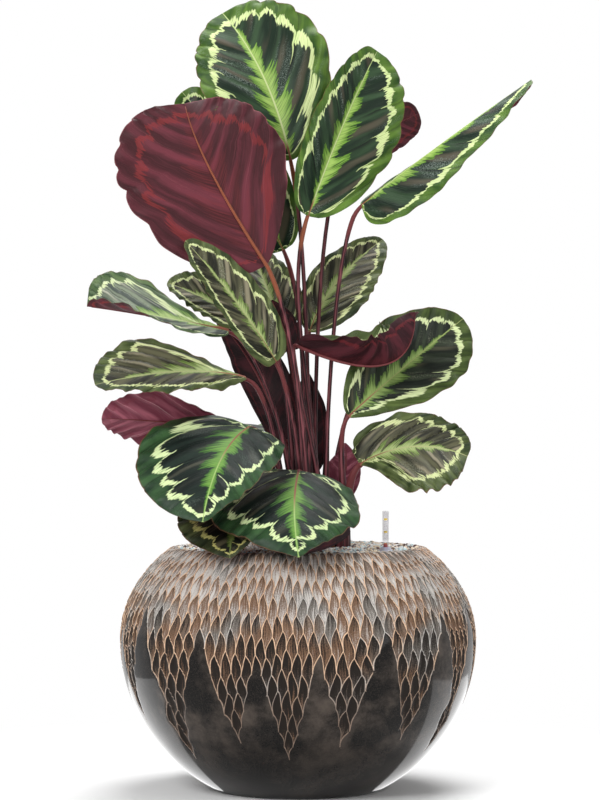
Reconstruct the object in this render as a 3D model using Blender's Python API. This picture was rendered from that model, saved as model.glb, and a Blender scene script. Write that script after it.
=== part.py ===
"""Calathea in a round carved pot, with a water-level indicator.

The pot stands on z = 0 with its axis on the Z axis. The plant's front, where most blades look, faces -Y.
Every blade is one leaf surface: a midrib through three points, with two halves that fold and curl off it.
"""

import math
from collections import namedtuple

import bpy
import numpy as np

MM = 0.001
GAP = 0.4 * MM  # clearance between pieces that touch
NECK_GAP = 0.8 * MM  # the same between a stalk's end and its blade

# Pot: a lower and an upper quarter ellipse that meet at the equator, with a rolled lip.
POT_RADIUS = 215 * MM
EQUATOR = 182 * MM
LOWER_RISE = 205 * MM
UPPER_RISE = 157 * MM
POT_WALL = 13 * MM
POT_FLOOR = 14 * MM
POT_HEIGHT = 292 * MM
LIP_RADIUS = 12 * MM
LIP_START = 43  # degrees above the equator, round the upper ellipse, where the lip begins
POT_SIDES = 40

# What the pot holds, from the bottom up.
SOIL_TOP = 262 * MM
GRAVEL_TOP = 286 * MM
CROWN_TOP = 290 * MM
CROWN_RADIUS = 46 * MM
CROWN_SHOULDER = 3 * MM
CROWN_CENTRE = (20 * MM, 0.0)
CROWN_SIDES = 24

# Water-level indicator: a closed tube with a sliding float, standing in a flared collar.
INDICATOR_PLACE = (104 * MM, -58 * MM)
TUBE_RADIUS = 4 * MM
TUBE_BORE = 3 * MM
TUBE_BOTTOM = 48 * MM
TUBE_TOP = 337 * MM
TUBE_ROOF = 1 * MM
FLOAT_RADIUS = 2.4 * MM
FLOAT_TOP = 299 * MM
COLLAR_RADIUS = 10.5 * MM
COLLAR_HEIGHT = 7.5 * MM
COLLAR_EDGE = 1 * MM
INDICATOR_SIDES = 16

# Blades and stalks.
BLADE_THICKNESS = 1.2 * MM
BLADE_ROWS = 8
BLADE_COLUMNS = 6
NECK = 3 * MM  # half the blade's width where it meets the stalk
POINT = 1.2 * MM  # half its width at the tip
STALK_FOOT_RADIUS = 4.2 * MM
STALK_TOP_RADIUS = 3.2 * MM
STALK_POINTS = 11
FOOT_RING = 12.5 * MM  # spacing of the rings of stalk feet on the crown

# Colour, roughness and metallic value of each kind of piece.
FINISHES = {
    "pot": ((0.16, 0.13, 0.11), 0.35, 0.0),
    "soil": ((0.04, 0.025, 0.015), 0.95, 0.0),
    "gravel": ((0.55, 0.5, 0.44), 0.8, 0.0),
    "crown": ((0.1, 0.06, 0.04), 0.9, 0.0),
    "indicator_tube": ((0.8, 0.82, 0.82), 0.15, 0.0),
    "indicator_collar": ((0.85, 0.85, 0.83), 0.3, 0.0),
    "indicator_float": ((0.75, 0.08, 0.04), 0.4, 0.0),
    "leaf": ((0.05, 0.14, 0.06), 0.4, 0.0),
    "stalk": ((0.13, 0.03, 0.03), 0.45, 0.0),
}

# foot is the stalk's place on the crown, as (ring, degrees). base, mid and tip are points of the midrib, in
# millimetres. face is the way the upper side looks at the base. The next five are (left, right) pairs: half
# is the half width in millimetres; widest is the place along the midrib where it is reached; fold is the
# angle in degrees at which that half leaves the midrib, positive towards the upper side; tip_fold is what
# the tip adds to it; curl is what the half bends through on its way to the margin. twist turns the blade
# about its midrib from base to tip, in degrees, and arch is how far the stalk follows the midrib.
Leaf = namedtuple("Leaf", "name foot base mid tip face half widest fold tip_fold curl twist arch")
Leaf.__new__.__defaults__ = ((0.44, 0.44), (10, 10), (0, 0), (-10, -10), 0, 0.15)

LEAVES = [
    Leaf("top_left", (1, 120), (-9, 10, 759), (-42, 30, 862), (-93, 70, 945), (0.0, -1.0, 0.4),
         half=(76, 86), widest=(0.5, 0.6), fold=(15, 12), curl=(-15, -20), arch=0.2),
    Leaf("top_right", (1, 300), (12, -15, 690), (54, -5, 800), (96, 25, 893), (0.2, -1.0, 0.15),
         half=(44, 68), widest=(0.42, 0.5), fold=(40, 5), curl=(-25, -15), arch=0.25),
    Leaf("far_right", (1, 0), (76, -20, 703), (167, -50, 771), (278, -45, 850), (0.0, -1.0, 0.7),
         half=(30, 46), widest=(0.44, 0.4), fold=(-30, -25), curl=(-10, -20), twist=75, arch=0.1),
    Leaf("tall_purple", (3, 260), (-38, -70, 628), (-104, -85, 740), (-134, -70, 819), (-0.35, 0.9, 0.1),
         half=(90, 97), widest=(0.58, 0.72), fold=(8, 8), curl=(5, 5)),
    Leaf("upper_back_right", (2, 90), (72, 68, 786), (112, 82, 806), (150, 90, 824), (0.1, 1.0, 0.3),
         half=(30, 28), arch=0.12),
    Leaf("upper_back_left", (2, 120), (-18, 50, 652), (-76, 80, 759), (-144, 95, 851), (-0.2, -1.0, 0.4),
         half=(50, 48), arch=0.2),
    Leaf("mid_back_right", (3, 80), (14, 55, 552), (48, 85, 615), (106, 120, 669), (0.1, -0.8, 0.5),
         half=(30, 46), fold=(20, 20), curl=(-20, -20)),
    Leaf("mid_back", (3, 120), (-17, 38, 552), (-37, 68, 604), (-60, 107, 659), (0.1, -0.8, 0.5),
         half=(44, 36)),
    Leaf("twisted_left", (2, 240), (-26, -55, 514), (-72, -80, 583), (-132, -100, 655), (0.3, -1.0, 0.4),
         half=(26, 32), widest=(0.4, 0.5), fold=(15, 15), curl=(-10, -10)),
    Leaf("mid_left_back", (2, 180), (-43, 6, 551), (-100, 2, 585), (-158, 0, 610), (0.0, -0.7, 0.7),
         half=(28, 42)),
    Leaf("upper_left", (2, 210), (-83, -30, 551), (-162, -60, 567), (-249, -80, 579), (0.0, -0.86, 0.5),
         half=(24, 58), widest=(0.5, 0.7), fold=(10, 10), tip_fold=(60, 40), curl=(0, 0), twist=-50),
    Leaf("lower_left", (3, 200), (-62, -45, 495), (-139, -80, 502), (-237, -110, 486), (-0.1, -0.6, 0.8),
         half=(46, 64), widest=(0.5, 0.64)),
    Leaf("low_purple_left", (3, 180), (-58, -20, 432), (-146, -55, 442), (-232, -75, 447), (0.0, 0.7, 0.7),
         half=(42, 44), widest=(0.7, 0.55), fold=(5, 5), curl=(0, 0)),
    Leaf("front_left", (3, 240), (-57, -75, 437), (-89, -150, 399), (-108, -205, 330), (-0.2, -0.9, 0.4),
         half=(66, 100), widest=(0.28, 0.4), fold=(5, 5), curl=(-30, -12)),
    Leaf("front", (3, 280), (1, -70, 385), (-4, -155, 344), (1, -205, 290), (0.0, -0.8, 0.6),
         half=(76, 96), widest=(0.42, 0.4), fold=(-5, -5), curl=(-20, -10)),
    Leaf("rim_left", (3, 220), (-43, -60, 374), (-70, -130, 329), (-78, -168, 287), (-0.3, -0.8, 0.4),
         half=(36, 72), widest=(0.5, 0.44), fold=(0, 5), curl=(-10, 0)),
    Leaf("rim_front", (3, 320), (58, -118, 322), (6, -162, 308), (-48, -164, 302), (0.0, 1.0, -0.1),
         half=(24, 15), fold=(25, 10), curl=(0, 0)),
    Leaf("low_right", (3, 340), (74, -25, 392), (136, -55, 413), (200, -80, 402), (0.0, -0.8, 0.6),
         half=(46, 70), widest=(0.42, 0.62)),
    Leaf("mid_right", (3, 0), (61, -10, 449), (121, -5, 502), (200, 10, 567), (0.1, -0.9, 0.3),
         half=(56, 54), widest=(0.6, 0.78)),
    Leaf("curled_right", (2, 300), (0, -40, 535), (104, -65, 512), (138, -85, 572), (0.0, -0.1, 1.0),
         half=(50, 42), widest=(0.6, 0.5), fold=(60, 45), curl=(10, 10), arch=0.1),
    Leaf("inner_left", (2, 150), (-17, 20, 421), (-53, 32, 506), (-103, 40, 572), (0.2, 0.9, 0.3),
         half=(34, 24)),
    Leaf("inner_right", (3, 100), (10, 50, 384), (12, 54, 442), (10, 60, 506), (0.0, 1.0, 0.1),
         half=(23, 20)),
    Leaf("inner_top", (1, 180), (-10, 10, 530), (-20, 18, 561), (-32, 24, 590), (0.0, 1.0, 0.3),
         half=(16, 34)),
    Leaf("low_purple_right", (3, 20), (44, 14, 347), (57, 22, 382), (57, 30, 416), (0.0, 1.0, 0.3),
         half=(18, 22)),
    Leaf("rear_left", (3, 140), (-20, 60, 430), (-70, 125, 430), (-115, 190, 380), (0.0, -0.1, 1.0),
         half=(52, 52)),
    Leaf("rear_right", (3, 60), (71, 60, 471), (121, 115, 503), (167, 170, 504), (-0.1, -0.2, 1.0),
         half=(40, 44)),
]


def unit(vectors):
    """Vectors along the last axis scaled to length 1."""
    return vectors / np.linalg.norm(vectors, axis=-1, keepdims=True)


def quadratic(points, u):
    """Points at u of the parabola that passes the three given points at u = 0, 1/2 and 1."""
    weights = np.stack([(1 - u) * (1 - 2 * u), 4 * u * (1 - u), u * (2 * u - 1)], axis=-1)
    return weights @ np.array(points, float)


def outline(u, widest):
    """Share of the half width along the midrib, 1 at widest, with a round base and a blunt point."""
    power = math.log(0.5) / np.log(widest)
    return np.sin(math.pi * np.clip(u, 0, 1) ** power) ** 0.5


def blade_frame(leaf, u):
    """Midrib points, with the side and upper directions of the blade there."""
    rib = quadratic([leaf.base, leaf.mid, leaf.tip], u) * MM
    step = 1e-4
    ahead = quadratic([leaf.base, leaf.mid, leaf.tip], u + step)
    behind = quadratic([leaf.base, leaf.mid, leaf.tip], u - step)
    along = unit(ahead - behind)
    face = np.array(leaf.face, float)
    upper = unit(face - (along @ face)[..., None] * along)
    side = np.cross(along, upper)
    turn = np.radians(leaf.twist) * u
    cos, sin = np.cos(turn)[..., None], np.sin(turn)[..., None]
    return rib, side * cos + upper * sin, upper * cos - side * sin


def blade_points(leaf, u, v):
    """The blade's middle surface at u along the midrib and v across it, from -1 on the left margin to 1.

    Each half leaves the midrib at its fold angle and bends evenly through its curl angle, so its section is
    an arc of length half_width times the outline: the integrals of cos and sin of fold + curl * |v|.
    """
    rib, side, upper = blade_frame(leaf, u)
    right = v >= 0
    half, widest, fold, tip_fold, curl = (
        np.where(right, pair[1], pair[0])
        for pair in (leaf.half, leaf.widest, leaf.fold, leaf.tip_fold, leaf.curl)
    )
    half = half * MM * outline(u, widest) + NECK * (1 - u) + POINT * u
    fold = np.radians(fold + tip_fold * u**3)
    curl = np.radians(curl)
    curl = np.where(np.abs(curl) < 1e-3, 1e-3, curl)
    reach = np.abs(v)
    across = np.sign(v) * (np.sin(fold + curl * reach) - np.sin(fold)) / curl * half
    lift = (np.cos(fold) - np.cos(fold + curl * reach)) / curl * half
    return rib + side * across[..., None] + upper * lift[..., None]


def stalk_foot(leaf):
    """The stalk's foot on the crown's flat top."""
    ring, degrees = leaf.foot
    angle = math.radians(degrees)
    return np.array([
        CROWN_CENTRE[0] + ring * FOOT_RING * math.cos(angle),
        CROWN_CENTRE[1] + ring * FOOT_RING * math.sin(angle),
        CROWN_TOP + GAP,
    ])


def stalk_points(leaf, t):
    """A cubic Bezier that rises from the foot and arrives along the midrib."""
    foot = stalk_foot(leaf)
    rib, _, _ = blade_frame(leaf, np.array([0.0, 0.001]))
    along = unit(rib[1] - rib[0])
    end = rib[0] - along * NECK_GAP
    span = np.linalg.norm(end - foot)
    up = np.array([0, 0, 0.4 * span])
    before = end - along * leaf.arch * span
    t = np.asarray(t)[..., None]
    return (1 - t) ** 3 * foot + 3 * (1 - t) ** 2 * t * (foot + up) + 3 * (1 - t) * t**2 * before + t**3 * end


def clear_scene():
    """Remove every object that the file starts with."""
    for item in list(bpy.data.objects):
        bpy.data.objects.remove(item)


def add_finish(item, kind):
    """Give the object a Principled material of its own."""
    colour, roughness, metallic = FINISHES[kind]
    material = bpy.data.materials.new(item.name)
    material.use_nodes = True
    shader = material.node_tree.nodes["Principled BSDF"]
    shader.inputs["Base Color"].default_value = (*colour, 1.0)
    shader.inputs["Roughness"].default_value = roughness
    shader.inputs["Metallic"].default_value = metallic
    item.data.materials.append(material)


def add_object(name, data, kind):
    """Put the data in the scene as a named object with its finish."""
    item = bpy.data.objects.new(name, data)
    bpy.context.collection.objects.link(item)
    add_finish(item, kind)
    return item


def turned(name, profile, sides, kind, centre=(0.0, 0.0), ring=False):
    """Solid of revolution about a vertical axis at centre.

    The profile is a chain of (radius, height) from the axis at the top, down the outer side, and back to the
    axis. A ring's profile stays clear of the axis, and its last point joins its first.
    """
    mesh = bpy.data.meshes.new(name)
    edges = [(index, index + 1) for index in range(len(profile) - 1)]
    if ring:
        edges.append((len(profile) - 1, 0))
    mesh.from_pydata([(radius, 0, height) for radius, height in profile], edges, [])
    item = add_object(name, mesh, kind)
    item.location = (centre[0], centre[1], 0)
    screw = item.modifiers.new("Turn", "SCREW")
    screw.axis = "Z"
    screw.steps = screw.render_steps = sides
    screw.use_merge_vertices = True
    screw.merge_threshold = 1e-5
    screw.use_smooth_shade = True
    return item


def bore(item, centre, radius, bottom, top, sides):
    """Cut an upright round hole into the object, from bottom to top."""
    profile = [(0, top), (radius, top), (radius, bottom), (0, bottom)]
    cutter = turned(f"{item.name}_bore", profile, sides, "soil", centre)
    cutter.hide_render = True
    cutter.display_type = "WIRE"
    cut = item.modifiers.new("Bore", "BOOLEAN")
    cut.operation = "DIFFERENCE"
    cut.solver = "EXACT"
    cut.object = cutter


def ellipse_point(radius, rise, angle):
    """Point of the pot's upright section at an angle round from the equator, in degrees."""
    return radius * math.cos(math.radians(angle)), EQUATOR + rise * math.sin(math.radians(angle))


def outer_wall():
    """The pot's outer side, from where the lip begins down to the foot."""
    foot = -math.degrees(math.asin(EQUATOR / LOWER_RISE))
    upper = [ellipse_point(POT_RADIUS, UPPER_RISE, angle) for angle in np.linspace(LIP_START, 0, 8)]
    lower = [ellipse_point(POT_RADIUS, LOWER_RISE, angle) for angle in np.linspace(0, foot, 10)]
    return upper + lower[1:]


def lip_arc():
    """The lip's arc, tangent to the outer wall, over its crest to its inner side."""
    start = math.radians(LIP_START)
    normal = math.atan2(POT_RADIUS * math.sin(start), UPPER_RISE * math.cos(start))
    radius, height = ellipse_point(POT_RADIUS, UPPER_RISE, LIP_START)
    centre = radius - LIP_RADIUS * math.cos(normal), height - LIP_RADIUS * math.sin(normal)
    return [
        (centre[0] + LIP_RADIUS * math.cos(angle), centre[1] + LIP_RADIUS * math.sin(angle))
        for angle in np.linspace(math.pi, normal, 7)
    ]


def inner_wall():
    """The pot's inner side, from the edge of its floor up to the underside of the lip."""
    radius = POT_RADIUS - POT_WALL
    upper_rise = UPPER_RISE - POT_WALL
    lower_rise = LOWER_RISE - POT_WALL
    floor = -math.degrees(math.asin((EQUATOR - POT_FLOOR) / lower_rise))
    lower = [ellipse_point(radius, lower_rise, angle) for angle in np.linspace(floor, 0, 8)]
    upper = [ellipse_point(radius, upper_rise, angle) for angle in np.linspace(0, 36, 6)]
    return lower + upper[1:]


def build_pot():
    """The pot: a bowl with a thick rolled lip and a flat foot."""
    inside = [(0, POT_FLOOR)] + inner_wall()
    outside = outer_wall() + [(0, 0)]
    turned("pot", inside + lip_arc()[:-1] + outside, POT_SIDES, "pot")


def fill(name, bottom, top, kind):
    """What fills the pot between two heights, with a small gap to its wall."""
    lip_up_to_crest = lip_arc()[:4]
    radii, heights = zip(*inner_wall(), *lip_up_to_crest)
    between = [height for height in heights if bottom < height < top and height > POT_FLOOR]
    levels = [top] + sorted(set(between), reverse=True) + [bottom]
    profile = [(0, top)]
    profile += [(float(np.interp(level, heights, radii)) - GAP, level) for level in levels]
    return turned(name, profile + [(0, bottom)], POT_SIDES, kind)


def build_fillings():
    """Soil, the gravel on it, and the crown that the stalks grow from."""
    soil = fill("soil", POT_FLOOR + GAP, SOIL_TOP, "soil")
    gravel = fill("gravel", SOIL_TOP + GAP, GRAVEL_TOP, "gravel")
    hole = TUBE_RADIUS + GAP
    bore(soil, INDICATOR_PLACE, hole, TUBE_BOTTOM - GAP, POT_HEIGHT, INDICATOR_SIDES)
    bore(gravel, INDICATOR_PLACE, hole, SOIL_TOP - GAP, POT_HEIGHT, INDICATOR_SIDES)
    bore(gravel, CROWN_CENTRE, CROWN_RADIUS + GAP, SOIL_TOP - GAP, POT_HEIGHT, CROWN_SIDES)
    shoulder = [
        (CROWN_RADIUS - CROWN_SHOULDER * (1 - math.sin(angle)),
         CROWN_TOP - CROWN_SHOULDER * (1 - math.cos(angle)))
        for angle in np.linspace(0, math.pi / 2, 4)
    ]
    bottom = SOIL_TOP + GAP
    turned("crown", [(0, CROWN_TOP)] + shoulder + [(CROWN_RADIUS, bottom), (0, bottom)],
           CROWN_SIDES, "crown", CROWN_CENTRE)


def build_indicator():
    """Water-level indicator: tube, float rod and collar, each about the same upright axis."""
    roof = TUBE_TOP - TUBE_ROOF
    tube = [(0, TUBE_TOP), (TUBE_RADIUS, TUBE_TOP), (TUBE_RADIUS, TUBE_BOTTOM),
            (TUBE_BORE, TUBE_BOTTOM), (TUBE_BORE, roof), (0, roof)]
    turned("indicator_tube", tube, INDICATOR_SIDES, "indicator_tube", INDICATOR_PLACE)

    rod = [(0, FLOAT_TOP), (FLOAT_RADIUS, FLOAT_TOP), (FLOAT_RADIUS, TUBE_BOTTOM), (0, TUBE_BOTTOM)]
    turned("indicator_float", rod, INDICATOR_SIDES, "indicator_float", INDICATOR_PLACE)

    hole = TUBE_RADIUS + GAP
    bottom = GRAVEL_TOP + GAP
    spread = COLLAR_RADIUS - hole - COLLAR_EDGE
    flare = [
        (COLLAR_RADIUS - spread * math.sin(angle), bottom + COLLAR_HEIGHT * (1 - math.cos(angle)))
        for angle in np.linspace(math.pi / 2, 0.2, 5)
    ]
    top = bottom + COLLAR_HEIGHT
    collar = [(hole, bottom), (hole, top)] + flare + [(COLLAR_RADIUS, bottom)]
    turned("indicator_collar", collar, INDICATOR_SIDES, "indicator_collar", INDICATOR_PLACE, ring=True)


def build_blade(leaf):
    """One leaf blade: a grid over its surface, thickened evenly to both sides."""
    along = np.linspace(0, 1, BLADE_ROWS + 1)
    across = np.linspace(-1, 1, BLADE_COLUMNS + 1)
    u, v = np.meshgrid(along, across, indexing="ij")
    points = blade_points(leaf, u, v).reshape(-1, 3)
    width = BLADE_COLUMNS + 1
    faces = [
        (corner, corner + 1, corner + width + 1, corner + width)
        for row in range(BLADE_ROWS)
        for corner in range(row * width, row * width + BLADE_COLUMNS)
    ]
    mesh = bpy.data.meshes.new(f"{leaf.name}_leaf")
    mesh.from_pydata(points.tolist(), [], faces)
    mesh.shade_smooth()
    item = add_object(f"{leaf.name}_leaf", mesh, "leaf")
    solid = item.modifiers.new("Thickness", "SOLIDIFY")
    solid.thickness = BLADE_THICKNESS
    solid.offset = 0


def build_stalk(leaf):
    """One stalk: a round rod that tapers from the crown to its blade."""
    curve = bpy.data.curves.new(f"{leaf.name}_stalk", "CURVE")
    curve.dimensions = "3D"
    curve.bevel_depth = STALK_FOOT_RADIUS
    curve.bevel_resolution = 1
    curve.use_fill_caps = True
    spline = curve.splines.new("POLY")
    spline.points.add(STALK_POINTS - 1)
    steps = np.linspace(0, 1, STALK_POINTS)
    t = steps**2 * (3 - 2 * steps)
    taper = 1 + (STALK_TOP_RADIUS / STALK_FOOT_RADIUS - 1) * t
    for point, place, radius in zip(spline.points, stalk_points(leaf, t), taper):
        point.co = (*place, 1)
        point.radius = radius
    add_object(f"{leaf.name}_stalk", curve, "stalk")


def main():
    """Build every piece."""
    clear_scene()
    build_pot()
    build_fillings()
    build_indicator()
    for leaf in LEAVES:
        build_blade(leaf)
        build_stalk(leaf)


if __name__ == "__main__":
    main()
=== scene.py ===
"""The looks of a calathea in a carved pot: blades, stems, pot, gravel, crown and water-level indicator.

It is laid out as an add-on with a panel in the 3D view's sidebar. Run as a script, it builds every piece
around the packed frame, in metres, with +Z up and the plant's front towards -Y.
"""

import math
from collections import namedtuple

import bmesh
import bpy
import numpy as np
from bpy.props import FloatProperty, FloatVectorProperty, IntProperty, PointerProperty
from bpy.types import Operator, Panel, PropertyGroup
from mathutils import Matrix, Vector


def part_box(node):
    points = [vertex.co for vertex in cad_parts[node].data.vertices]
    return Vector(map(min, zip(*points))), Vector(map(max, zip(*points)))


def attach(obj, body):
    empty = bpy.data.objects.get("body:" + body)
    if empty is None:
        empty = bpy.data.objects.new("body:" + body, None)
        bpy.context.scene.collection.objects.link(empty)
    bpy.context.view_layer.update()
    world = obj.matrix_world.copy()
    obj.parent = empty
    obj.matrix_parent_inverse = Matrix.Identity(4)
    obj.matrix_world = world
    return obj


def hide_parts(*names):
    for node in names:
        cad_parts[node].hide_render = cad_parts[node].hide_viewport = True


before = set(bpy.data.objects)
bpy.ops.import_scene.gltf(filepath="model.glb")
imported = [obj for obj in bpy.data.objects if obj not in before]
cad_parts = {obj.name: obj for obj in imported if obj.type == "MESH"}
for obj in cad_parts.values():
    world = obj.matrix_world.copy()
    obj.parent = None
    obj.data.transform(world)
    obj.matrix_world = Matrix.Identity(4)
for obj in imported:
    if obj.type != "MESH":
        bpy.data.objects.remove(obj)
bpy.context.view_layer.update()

bl_info = {
    "name": "Potted calathea",
    "version": (1, 0, 0),
    "blender": (4, 5, 0),
    "location": "3D View > Sidebar > Calathea",
    "description": "Builds a calathea in a carved pot, piece by piece, around its packed frame",
    "category": "Add Mesh",
}

MM = 0.001
POT_LOW, POT_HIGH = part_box("pot")
GRAVEL_LOW, GRAVEL_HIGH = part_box("gravel")
CROWN_LOW, CROWN_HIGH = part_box("crown")
TUBE_LOW, TUBE_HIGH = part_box("indicator_tube")
COLLAR_LOW, COLLAR_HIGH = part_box("indicator_collar")
FLOAT_LOW, FLOAT_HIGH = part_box("indicator_float")
CROWN_MIDDLE = (CROWN_LOW + CROWN_HIGH) / 2
TUBE_MIDDLE = (TUBE_LOW + TUBE_HIGH) / 2


# ---------------------------------------------------------------------------------------- small helpers


def linear(red, green, blue):
    """A colour given as 0 to 255 screen values, as the linear values that Blender's sockets hold."""
    values = np.array([red, green, blue]) / 255
    return tuple(np.where(values <= 0.04045, values / 12.92, ((values + 0.055) / 1.055) ** 2.4).tolist())


def colour(name, description, *screen):
    """A colour property whose default is given as 0 to 255 screen values."""
    return FloatVectorProperty(
        name=name, description=description, default=linear(*screen), subtype="COLOR", min=0, max=1, size=3
    )


def length(name, description, millimetres, most):
    """A length property with its default and its most in millimetres."""
    return FloatProperty(
        name=name, description=description, default=millimetres * MM, min=0, max=most * MM, unit="LENGTH",
        precision=5,
    )


def metres(name, description, default):
    """A length property with its default in metres."""
    return FloatProperty(name=name, description=description, default=default, unit="LENGTH")


def whole(name, description, default, least, most):
    """A whole-number property."""
    return IntProperty(name=name, description=description, default=default, min=least, max=most)


def share(name, description, default):
    """A property from 0 to 1."""
    return FloatProperty(name=name, description=description, default=default, min=0, max=1, subtype="FACTOR")


def unit(vectors):
    """Vectors along the last axis scaled to length 1."""
    return vectors / np.linalg.norm(vectors, axis=-1, keepdims=True)


def once_round(count):
    """That many even angles round a circle, from 0 on."""
    return np.linspace(0, 2 * math.pi, count, endpoint=False)


def smooth(value, low, high):
    """0 below low, 1 above high, with a smooth step between them."""
    t = np.clip((value - low) / (high - low), 0, 1)
    return t * t * (3 - 2 * t)


def waves(value, seed, count=3):
    """A sum of sines of value with seeded lengths and phases, within about -1 to 1."""
    random = np.random.default_rng(seed)
    total = 0.0
    for order in range(1, count + 1):
        total = total + np.sin(value * (order + random.uniform(-0.3, 0.3)) + random.uniform(0, 6.28)) / order
    return total / 1.5


def grid_faces(rows, columns):
    """Quads of a grid with rows x columns points, counted row by row."""
    corner = (np.arange(rows - 1)[:, None] * columns + np.arange(columns - 1)).ravel()
    return np.stack([corner, corner + 1, corner + columns + 1, corner + columns], axis=1)


def fan(centre, first, columns, forward=True):
    """Triangles between a centre point and the ring of points that starts at first, wound either way."""
    turn = np.arange(columns)
    here, beside = first + turn, first + (turn + 1) % columns
    return np.stack([np.full(columns, centre), *((here, beside) if forward else (beside, here))], axis=1)


def wrapped_faces(rows, columns):
    """Quads of a grid whose last column joins its first, such as a tube's."""
    row, column = np.meshgrid(np.arange(rows - 1), np.arange(columns), indexing="ij")
    here = (row * columns + column).ravel()
    beside = (row * columns + (column + 1) % columns).ravel()
    return np.stack([here, beside, beside + columns, here + columns], axis=1)


def new_piece(name, points, faces, materials, indices=None, uv_maps=None):
    """An object of that mesh, with its place in its vertices, smooth faces and its UV maps.

    faces is a list of arrays of quads or triangles. uv_maps holds an array per map, either a pair for each
    vertex or a pair for each corner of each face.
    """
    mesh = bpy.data.meshes.new(name)
    loops = np.concatenate([part.ravel() for part in faces])
    sizes = np.concatenate([np.full(len(part), part.shape[1]) for part in faces])
    mesh.vertices.add(len(points))
    mesh.vertices.foreach_set("co", np.asarray(points, np.float32).ravel())
    mesh.loops.add(len(loops))
    mesh.loops.foreach_set("vertex_index", loops.astype(np.int32))
    mesh.polygons.add(len(sizes))
    mesh.polygons.foreach_set("loop_start", np.concatenate([[0], np.cumsum(sizes)[:-1]]).astype(np.int32))
    for material in materials:
        mesh.materials.append(material)
    if indices is not None:
        mesh.polygons.foreach_set("material_index", np.asarray(indices, np.int32))
    for title, pairs in (uv_maps or {}).items():
        pairs = pairs if len(pairs) == len(loops) else pairs[loops]
        mesh.uv_layers.new(name=title).data.foreach_set("uv", np.asarray(pairs, np.float32).ravel())
    mesh.update(calc_edges=True)
    mesh.validate()
    mesh.shade_smooth()
    item = bpy.data.objects.new(name, mesh)
    bpy.context.scene.collection.objects.link(item)
    return item


def dress(item, body, slot, *nodes):
    """Let the piece ride on its body, and stand for the CAD nodes; slot is not used."""
    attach(item, body)
    if nodes:
        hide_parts(*nodes)


def clean(item, flat_above):
    """Merge the piece's doubles, turn its faces outwards, and keep edges over flat_above degrees sharp."""
    edit = bmesh.new()
    edit.from_mesh(item.data)
    bmesh.ops.remove_doubles(edit, verts=edit.verts, dist=1e-6)
    bmesh.ops.dissolve_degenerate(edit, edges=edit.edges, dist=1e-6)
    bmesh.ops.recalc_face_normals(edit, faces=edit.faces)
    edit.to_mesh(item.data)
    edit.free()
    item.data.shade_smooth()
    item.data.set_sharp_from_angle(angle=math.radians(flat_above))


def turned(name, profile, sides, material, centre, closed=False):
    """A surface of revolution: the profile's (radius, height) points carried round the axis at centre.

    The profile runs from the axis or the top, down the outside. closed joins its last point to its first.
    """
    profile = np.array(profile + profile[:1] if closed else profile)
    angle = once_round(sides)
    radius, height = profile[:, :1], profile[:, 1:]
    points = np.stack(
        [centre[0] + radius * np.cos(angle), centre[1] + radius * np.sin(angle), height + 0 * angle], axis=-1
    )
    item = new_piece(name, points.reshape(-1, 3), [wrapped_faces(len(profile), sides)[:, ::-1]], [material])
    clean(item, 35)
    return item


# ------------------------------------------------------------------------------------------ shader trees


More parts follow.
